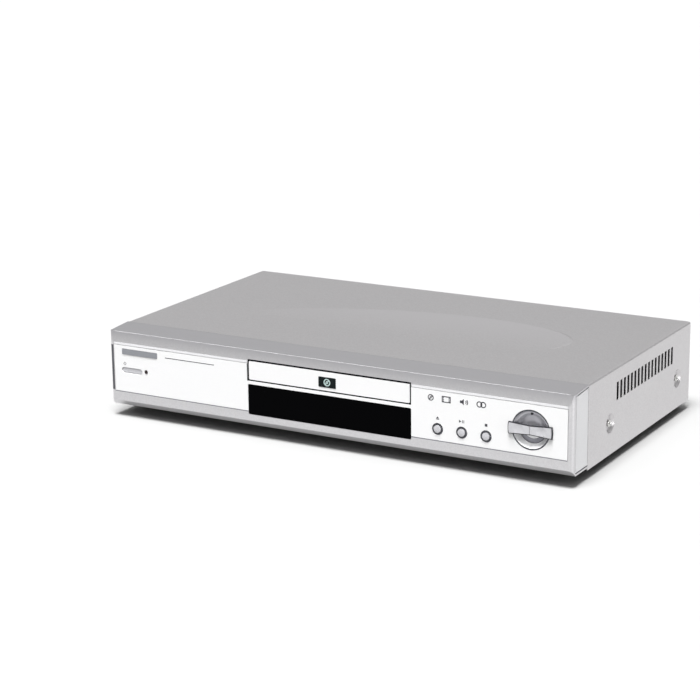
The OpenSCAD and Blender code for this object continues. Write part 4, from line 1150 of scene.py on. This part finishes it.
    def badge_sign(self) -> bmesh.types.BMesh:
        """Draws a plain disc on the door's badge.

        Returns:
            Thin solid ink on the badge.
        """
        ink = Stencil()
        left, low, right, high = self.badge
        ink.sign(Sign.DISC, ((left + right) / 2.0, (low + high) / 2.0), self.badge_sign_h)
        return ink.lay((0.0, -self.badge_proud, 0.0), proud=INK_MM, **FRONT)

    def raised_plate(self, edges: Edges, proud: float) -> bmesh.types.BMesh:
        """Makes a thin plate with softened corners and a fine rim.

        Args:
            edges: Left, low, right and high side.
            proud: Height above the panel.

        Returns:
            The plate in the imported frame.
        """
        sheet = Stencil()
        sheet.bar(*edges)
        shape = sheet.lay((0.0, 0.0, 0.0), proud=proud, **FRONT)
        across = [
            edge for edge in shape.edges if abs((edge.verts[0].co - edge.verts[1].co).y) > SAME_PLACE
        ]
        bmesh.ops.bevel(
            shape, geom=across, offset=self.plate_corner * MM, segments=4, profile=0.5, affect="EDGES",
            material=-1,
        )
        self.soften(shape, self.plate_round)
        return shape

    @staticmethod
    def soften(shape: bmesh.types.BMesh, reach: float) -> None:
        """Rounds the foremost edges of a shape.

        Args:
            shape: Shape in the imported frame, changed here.
            reach: Width of the rounding.
        """
        front = min(vert.co.y for vert in shape.verts)
        edges = [
            edge for edge in shape.edges if all(vert.co.y < front + SAME_PLACE for vert in edge.verts)
        ]
        bmesh.ops.bevel(
            shape, geom=edges, offset=reach * MM, segments=2, profile=0.5, affect="EDGES", material=-1,
        )

    def button_ring(self, x: float) -> bmesh.types.BMesh:
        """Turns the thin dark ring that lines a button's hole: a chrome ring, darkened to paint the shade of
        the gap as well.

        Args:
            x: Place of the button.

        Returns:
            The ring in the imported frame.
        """
        inner = self.button_r + self.ring_clear
        outline = [(inner + out, back) for out, back in self.ring_form]
        return lathe(outline, (x, 0.0, self.button_z), BACKWARD, RIGHT, steps=64)

    def dish_shade_skin(self, first: int, last: int, start: float) -> bmesh.types.BMesh:
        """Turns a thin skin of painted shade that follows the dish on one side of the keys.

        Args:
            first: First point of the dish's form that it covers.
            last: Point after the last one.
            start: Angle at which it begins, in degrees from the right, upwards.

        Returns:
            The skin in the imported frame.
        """
        line = self.dish_form[first:last]
        top, low = self.skin_rise
        outline = [(radius - self.skin_clear, top - deep) for radius, deep in line]
        outline += [(radius - self.skin_clear, low - deep) for radius, deep in reversed(line)]
        angle = math.radians(start)
        side = (math.cos(angle), 0.0, math.sin(angle))
        turn = 180.0 - 2.0 * (start % 180.0)
        x, z = self.dish
        return lathe(outline, (x, 0.0, z), FORWARD, side, steps=40, turn=turn)

    def dish_line(self) -> bmesh.types.BMesh:
        """Turns the dark line round the dish.

        Returns:
            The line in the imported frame.
        """
        x, z = self.dish
        inner, outer = self.dish_r - self.dish_rim[0], self.dish_r + self.dish_rim[1]
        across, down = self.rim_round
        side = self.rim_t - down
        outline = (
            (inner, 0.0), (outer, 0.0), (outer, side), (outer - across, self.rim_t),
            (inner + across, self.rim_t), (inner, side),
        )
        return lathe(outline, (x, SUNK_MM, z), FORWARD, RIGHT, steps=96)

    def dish_point(self) -> bmesh.types.BMesh:
        """Turns the small dark mark at the top of the dish.

        Returns:
            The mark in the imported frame.
        """
        x, z = self.dish
        across, up = self.dish_dot
        return lathe(self.dot_form, (x + across, 0.0, z + up), FORWARD, RIGHT, steps=24)

    def key_shade(self) -> bmesh.types.BMesh:
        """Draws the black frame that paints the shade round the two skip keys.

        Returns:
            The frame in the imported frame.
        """
        grow = self.key_clear + self.key_shade_line
        reach, half = self.key_end
        bow = math.asin(half / reach)
        steps = (-1.0, -0.5, 0.0, 0.5, 1.0)
        right = [((reach + grow) * math.cos(step * bow), (half + grow) * step) for step in steps]
        middle = self.key_mid + grow
        left = [(-u, -v) for u, v in right]
        sheet = Stencil()
        sheet.outline([*right, (0.0, middle), *left, (0.0, -middle)], self.key_shade_line)
        x, z = self.dish
        return sheet.lay((x, 0.0, z), proud=self.key_shade_proud, **FRONT)

    def door_gap_shade(self) -> bmesh.types.BMesh:
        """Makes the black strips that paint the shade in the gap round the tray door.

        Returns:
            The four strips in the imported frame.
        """
        side, top = self.door_gap
        left, low, right, high = self.door
        clear = self.gap_shade_clear
        sheet = Stencil()
        sheet.bar(left - side, low - side, right + side, low - clear)
        sheet.bar(left - side, high + clear, right + side, high + top)
        sheet.bar(left - side, low - clear, left - clear, high + clear)
        sheet.bar(right + clear, low - clear, right + side, high + clear)
        bmesh.ops.remove_doubles(sheet.sheet, verts=sheet.sheet.verts, dist=SAME_PLACE / MM)
        return sheet.lay((0.0, self.gap_shade_back, 0.0), proud=self.gap_shade_t, **FRONT)

    def strips(self, *bars: Edges) -> bmesh.types.BMesh:
        """Makes thin strips with softened edges on the panel's front.

        Args:
            *bars: Left, low, right and high side of each strip.

        Returns:
            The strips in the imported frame.
        """
        sheet = Stencil()
        for bar in bars:
            sheet.bar(*bar)
        shape = sheet.lay((0.0, 0.0, 0.0), proud=INK_MM, **FRONT)
        self.soften(shape, ROUND_MM)
        return shape

    def door_side_shade_strip(self) -> bmesh.types.BMesh:
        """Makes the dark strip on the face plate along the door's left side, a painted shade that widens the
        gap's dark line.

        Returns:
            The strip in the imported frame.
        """
        left, low, _, _ = self.door
        near = left - self.door_gap[0]
        return self.strips((near - self.shade_line_width, low - self.door_gap[0], near, self.face[3]))

    def brow_strips(self) -> bmesh.types.BMesh:
        """Makes the pale strips on the panel's lip above the face plate, on both sides of the door.

        Returns:
            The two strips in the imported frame.
        """
        reach = self.door[2] + self.door_gap[0] + self.brow_clear
        low, high = self.brow
        return self.strips((self.face[0], low, -reach, high), (reach, low, self.face[2], high))

    def seam_shade_strip(self) -> bmesh.types.BMesh:
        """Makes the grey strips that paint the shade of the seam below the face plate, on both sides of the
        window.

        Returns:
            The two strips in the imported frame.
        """
        left, edge, right, _ = self.face
        low, high = edge - self.shade_line_width, edge - self.seam_shade_clear
        return self.strips((left, low, -self.window_half, high), (self.window_half, low, right, high))

    def edge_highlight_strip(self) -> bmesh.types.BMesh:
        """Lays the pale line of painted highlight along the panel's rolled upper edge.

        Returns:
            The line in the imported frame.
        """
        end, _ = self.corner
        y, z = self.edge
        half = self.highlight_width / 2.0
        slant = math.sqrt(0.5)
        sheet = Stencil()
        sheet.bar(end, -half, -end, half)
        shape = sheet.lay((0.0, y, z), RIGHT, (0.0, slant, slant), INK_MM)
        self.soften(shape, ROUND_MM)
        return shape

    def end_shade_strip(self) -> bmesh.types.BMesh:
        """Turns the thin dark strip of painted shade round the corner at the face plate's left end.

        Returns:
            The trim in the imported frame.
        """
        x, radius = self.corner
        low, high = self.face[1] + self.end_shade_clear, self.face[3] - self.end_shade_clear
        rim, top = (radius + rise for rise in self.end_shade_rise)
        outline = (
            (radius - SUNK_MM, -high), (rim, -high), (top, -high + self.end_shade_round),
            (top, -low - self.end_shade_round), (rim, -low), (radius - SUNK_MM, -low),
        )
        return lathe(outline, (x, radius, 0.0), DOWN, FORWARD, steps=20, turn=self.end_shade_turn)


@dataclass
class RearSockets(Assembly):
    """Sockets on the rear panel, with the printed frames that group them."""

    panel_y: float = 245.2
    groups: tuple[Edges, ...] = (
        (184.5, 13.0, 199.5, 41.5), (166.5, 13.0, 181.5, 41.5), (148.5, 13.0, 163.5, 55.5),
        (129.0, 18.0, 145.0, 36.0), (106.0, 18.0, 122.0, 34.0),
    )
    line: float = 0.5
    signs: tuple[tuple[float, float, Sign], ...] = (
        (192.0, 48.0, Sign.SPEAKER), (174.0, 48.0, Sign.FILM), (156.0, 60.5, Sign.FILM),
    )
    sign_h: float = 4.6

    def dress(self, bench: Bench) -> None:
        """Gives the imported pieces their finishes.

        Args:
            bench: Bench with the nodes.
        """
        bench.dress(NICKEL, "jack_barrels")
        bench.dress(INSULATORS, "jack_inserts")
        bench.dress(BLACK_PLASTIC, "jack_blocks", "s_video_socket", "optical_socket", "optical_shutter")
        bench.dress(BLACK_PLASTIC, "mains_inlet")

    def build(self, bench: Bench) -> None:
        """Adds the printed frames round the groups of sockets and the signs over them.

        Args:
            bench: Bench that takes the pieces.
        """
        ink = Stencil()
        for left, low, right, high in self.groups:
            ink.frame(-right, low, -left, high, self.line)
        for x, z, sign in self.signs:
            ink.sign(sign, (-x, z), self.sign_h)
        shape = ink.lay((0.0, self.panel_y, 0.0), proud=INK_MM, **REAR)
        bench.add(shape, "socket_frames", "case", "rear_paint", PALE_INK)


@dataclass
class Electronics(Assembly):
    """Boards, their parts and the cables between them."""

    def dress(self, bench: Bench) -> None:
        """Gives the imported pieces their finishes.

        Args:
            bench: Bench with the nodes.
        """
        bench.dress(GREEN_BOARD, "main_board", "front_board")
        bench.dress(BROWN_BOARD, "power_board")
        bench.dress(BLACK_PLASTIC, "decoder_chips", "tact_switches")
        bench.dress(SINK_ALUMINIUM, "chip_heat_sink", "power_heat_sink")
        bench.dress(CAN_SLEEVE, "capacitors")
        bench.dress(IVORY_PLASTIC, "board_connectors")
        bench.dress(FRONT_CABLE, "front_ribbon")
        bench.dress(SIDE_CABLE, "loader_ribbon")
        bench.dress(SLEEVED_WIRE, "power_harness")
        bench.dress(FERRITE, "transformer")
        bench.dress(TUBE_GLASS, "display_tube")


@dataclass
class Loader(Assembly):
    """Disc loader with its tray, gears, lift and pickup."""

    def dress(self, bench: Bench) -> None:
        """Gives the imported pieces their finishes.

        Args:
            bench: Bench with the nodes.
        """
        bench.dress(TRAY_PLASTIC, "disc_tray", "loader_frame")
        bench.dress(PLATED_STEEL, "clamp_bridge", "traverse", "loading_motor", "spindle_motor", "feed_motor")
        bench.dress(IVORY_PLASTIC, "clamper", "motor_pulley", "pulley_gear", "tray_gear", "cam_slide")
        bench.dress(IVORY_PLASTIC, "feed_gear")
        bench.dress(RUBBER, "drive_belt")
        bench.dress(BLACK_PLASTIC, "turntable")
        bench.dress(SCREW_STEEL, "guide_rods")
        bench.dress(DIE_CAST, "pickup")
        bench.dress(LENS_GLASS, "objective_lens")
        bench.dress(BRASS, "feed_pinion")


@dataclass(frozen=True)
class Lamp:
    """Far, wide lamp.

    Attributes:
        name: Name of the lamp.
        bearing: Angle from straight ahead towards the right, in degrees.
        height: Angle above the floor in degrees.
        strength: Light that it sheds.
        width: Angle that it fills, in degrees.
        mirrored: Whether mirrors show it.
    """

    name: str
    bearing: float
    height: float
    strength: float
    width: float
    mirrored: bool


@dataclass
class Studio:
    """Pale floor, soft lamps and the camera of the photograph.

    Aim, distance, footprint and shade_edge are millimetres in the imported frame, lens and film are the
    camera's own, and sight, floor_half and lamp_far are metres.
    """

    aim: Point3 = (-29.70, -36.97, 59.54)
    yaw: float = 29.708
    tilt: float = 15.125
    roll: float = -0.655
    distance: float = 1771.7
    lens: float = 107.62
    film: float = 36.0
    sight: float = 60.0
    floor_half: float = 15.0
    floor_seen: float = 0.4
    floor_paper: float = 0.22
    floor_mirror: float = 1.15
    shade_mirror: float = 0.25
    footprint: Point2 = (218.0, 128.0)
    shade_edge: float = 8.0
    room_light: float = 0.23
    mirror_room: float = 0.25
    mirror_wall: float = 0.35
    mirror_front: float = 0.28
    wall_rise: tuple[float, float] = (0.0, 0.5)
    wall_turn: float = 0.4
    lamp_far: float = 3.0
    lamps: tuple[Lamp, ...] = (
        Lamp("front_lamp", 5.0, 1.5, 0.15, 5.0, True),
        Lamp("side_lamp", 80.0, 1.5, 0.6, 5.0, True),
        Lamp("glint_lamp", -40.0, 45.0, 0.1, 20.0, True),
        Lamp("top_lamp", 10.0, 74.0, 6.2, 24.0, False),
        Lamp("ceiling_lamp", 10.0, 80.0, 1.4, 80.0, False),
    )

    def build(self) -> None:
        """Sets up the whole studio."""
        bpy.context.scene.view_settings.view_transform = "Standard"
        self.light_world()
        self.lay_floor()
        self.hang_lamps()
        self.set_camera()

    def light_world(self) -> None:
        """Makes a dim plain room, white to the eye; mirrors see it brighter, with a pale wall behind."""
        world = bpy.data.worlds.new("Plain_room")
        bpy.context.scene.world = world
        world.use_nodes = True
        tree = world.node_tree
        tree.nodes.clear()
        way = add_node(tree, "ShaderNodeTexCoord").outputs["Generated"]
        axes = add_node(tree, "ShaderNodeSeparateXYZ", links={"Vector": way})
        low, high = self.wall_rise
        over = add_node(
            tree, "ShaderNodeMapRange", {"From Min": low, "From Max": high}, {"Value": axes.outputs["Z"]},
            interpolation_type="SMOOTHSTEP",
        )
        behind = add_node(
            tree, "ShaderNodeMapRange", {"From Max": self.wall_turn, "To Max": self.mirror_wall},
            {"Value": axes.outputs["Y"]}, interpolation_type="SMOOTHSTEP",
        )
        wall = add_node(
            tree, "ShaderNodeMath", links={0: over.outputs["Result"], 1: behind.outputs["Result"]},
            operation="MULTIPLY",
        )
        ahead = add_node(
            tree, "ShaderNodeMapRange",
            {"From Max": -self.wall_turn, "To Min": self.mirror_room,
             "To Max": self.mirror_room + self.mirror_front},
            {"Value": axes.outputs["Y"]}, interpolation_type="SMOOTHSTEP",
        )
        mirror = add_node(
            tree, "ShaderNodeMath", links={0: wall.outputs[0], 1: ahead.outputs["Result"]}, operation="ADD",
        )
        level = add_node(
            tree, "ShaderNodeMix", {2: self.room_light}, {0: self.mirror_rays(tree), 3: mirror.outputs[0]},
            data_type="FLOAT",
        )
        eye = add_node(tree, "ShaderNodeLightPath").outputs["Is Camera Ray"]
        seen = add_node(tree, "ShaderNodeMix", {3: 1.0}, {0: eye, 2: level.outputs[0]}, data_type="FLOAT")
        room = add_node(
            tree, "ShaderNodeBackground", {"Color": (1.0, 1.0, 1.0, 1.0)}, {"Strength": seen.outputs[0]},
        )
        add_node(tree, "ShaderNodeOutputWorld", links={"Surface": room.outputs["Background"]})

    @staticmethod
    def mirror_rays(tree: bpy.types.NodeTree) -> Socket:
        """Tells the rays that a mirror or a clear body sends on, before any dull face has scattered them.

        Args:
            tree: Node tree that gets the nodes.

        Returns:
            1 for such a ray and 0 for any other.
        """
        path = add_node(tree, "ShaderNodeLightPath")
        both = add_node(
            tree, "ShaderNodeMath",
            links={0: path.outputs["Is Glossy Ray"], 1: path.outputs["Is Transmission Ray"]},
            operation="MAXIMUM",
        )
        direct = add_node(
            tree, "ShaderNodeMath", links={0: both.outputs[0], 1: path.outputs["Diffuse Depth"]},
            operation="SUBTRACT", use_clamp=True,
        )
        return direct.outputs[0]

    def lay_floor(self) -> None:
        """Lays the pale floor, white to the eye but for the shadow; to mirrors it glows white, with a painted
        shadow under the case.
        """
        material = bpy.data.materials.new("Matte paper floor")
        material.use_nodes = True
        tree = material.node_tree
        tree.nodes.clear()
        path = add_node(tree, "ShaderNodeLightPath")
        tone = add_node(
            tree, "ShaderNodeMix",
            {6: (self.floor_paper,) * 3 + (1.0,), 7: (self.floor_seen,) * 3 + (1.0,)},
            {0: path.outputs["Is Camera Ray"]}, data_type="RGBA", clamp_result=False,
        )
        paper = add_node(tree, "ShaderNodeBsdfDiffuse", links={"Color": tone.outputs[2]})
        place = add_node(tree, "ShaderNodeTexCoord").outputs["Object"]
        axes = add_node(tree, "ShaderNodeSeparateXYZ", links={"Vector": place})
        within: list[Socket] = []
        for axis, half in zip("XY", self.footprint):
            away = add_node(tree, "ShaderNodeMath", links={0: axes.outputs[axis]}, operation="ABSOLUTE")
            edge = add_node(
                tree, "ShaderNodeMapRange",
                {"From Min": (half - self.shade_edge) * MM, "From Max": half * MM,
                 "To Min": 1.0, "To Max": 0.0},
                {"Value": away.outputs[0]}, interpolation_type="SMOOTHSTEP",
            )
            within.append(edge.outputs["Result"])
        shade = add_node(tree, "ShaderNodeMath", links={0: within[0], 1: within[1]}, operation="MULTIPLY")
        glow = add_node(
            tree, "ShaderNodeMapRange", {"To Min": self.floor_mirror, "To Max": self.shade_mirror},
            {"Value": shade.outputs[0]},
        )
        white = add_node(tree, "ShaderNodeEmission", links={"Strength": glow.outputs["Result"]})
        either = add_node(
            tree, "ShaderNodeMixShader",
            links={0: self.mirror_rays(tree), 1: paper.outputs["BSDF"], 2: white.outputs["Emission"]},
        )
        add_node(tree, "ShaderNodeOutputMaterial", links={"Surface": either.outputs["Shader"]})
        shape = bmesh.new()
        bmesh.ops.create_grid(shape, x_segments=1, y_segments=1, size=self.floor_half)
        mesh = bpy.data.meshes.new("paper_floor")
        shape.to_mesh(mesh)
        shape.free()
        mesh.materials.append(material)
        floor = bpy.data.objects.new("paper_floor", mesh)
        bpy.context.scene.collection.objects.link(floor)

    @staticmethod
    def direction(bearing: float, height: float) -> Vector:
        """Gives the way to a point seen at a bearing and a height, both in degrees."""
        turn, rise = math.radians(bearing), math.radians(height)
        return Vector((math.sin(turn) * math.cos(rise), -math.cos(turn) * math.cos(rise), math.sin(rise)))

    def hang_lamps(self) -> None:
        """Hangs the lamps."""
        for lamp in self.lamps:
            light = bpy.data.lights.new(lamp.name, "SUN")
            light.energy = lamp.strength
            light.angle = math.radians(lamp.width)
            holder = bpy.data.objects.new(lamp.name, light)
            way = self.direction(lamp.bearing, lamp.height)
            holder.rotation_euler = way.to_track_quat("Z", "Y").to_euler()
            holder.location = way * self.lamp_far
            holder.visible_glossy = lamp.mirrored
            bpy.context.scene.collection.objects.link(holder)

    def set_camera(self) -> None:
        """Sets the camera where the photograph was taken from."""
        lean = math.radians(self.roll)
        back = self.direction(self.yaw, self.tilt)
        right = (-back).cross(Vector(UP)).normalized()
        up = right.cross(-back)
        across = right * math.cos(lean) + up * math.sin(lean)
        upright = up * math.cos(lean) - right * math.sin(lean)
        data = bpy.data.cameras.new("photo_camera")
        data.lens = self.lens
        data.sensor_width = self.film
        data.clip_end = self.sight
        camera = bpy.data.objects.new("photo_camera", data)
        place = Matrix((across, upright, back)).transposed().to_4x4()
        place.translation = (Vector(self.aim) + back * self.distance) * MM
        camera.matrix_world = place
        bpy.context.scene.collection.objects.link(camera)
        bpy.context.scene.camera = camera


def main() -> None:
    """Builds the studio, dresses the player and adds its small pieces."""
    logging.basicConfig(level=logging.INFO, format="%(name)s: %(message)s")
    Studio().build()
    bench = Bench(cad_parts)
    for assembly in (Cabinet(), FrontPanel(), RearSockets(), Electronics(), Loader()):
        assembly.dress(bench)
        assembly.build(bench)


if __name__ == "__main__":
    main()
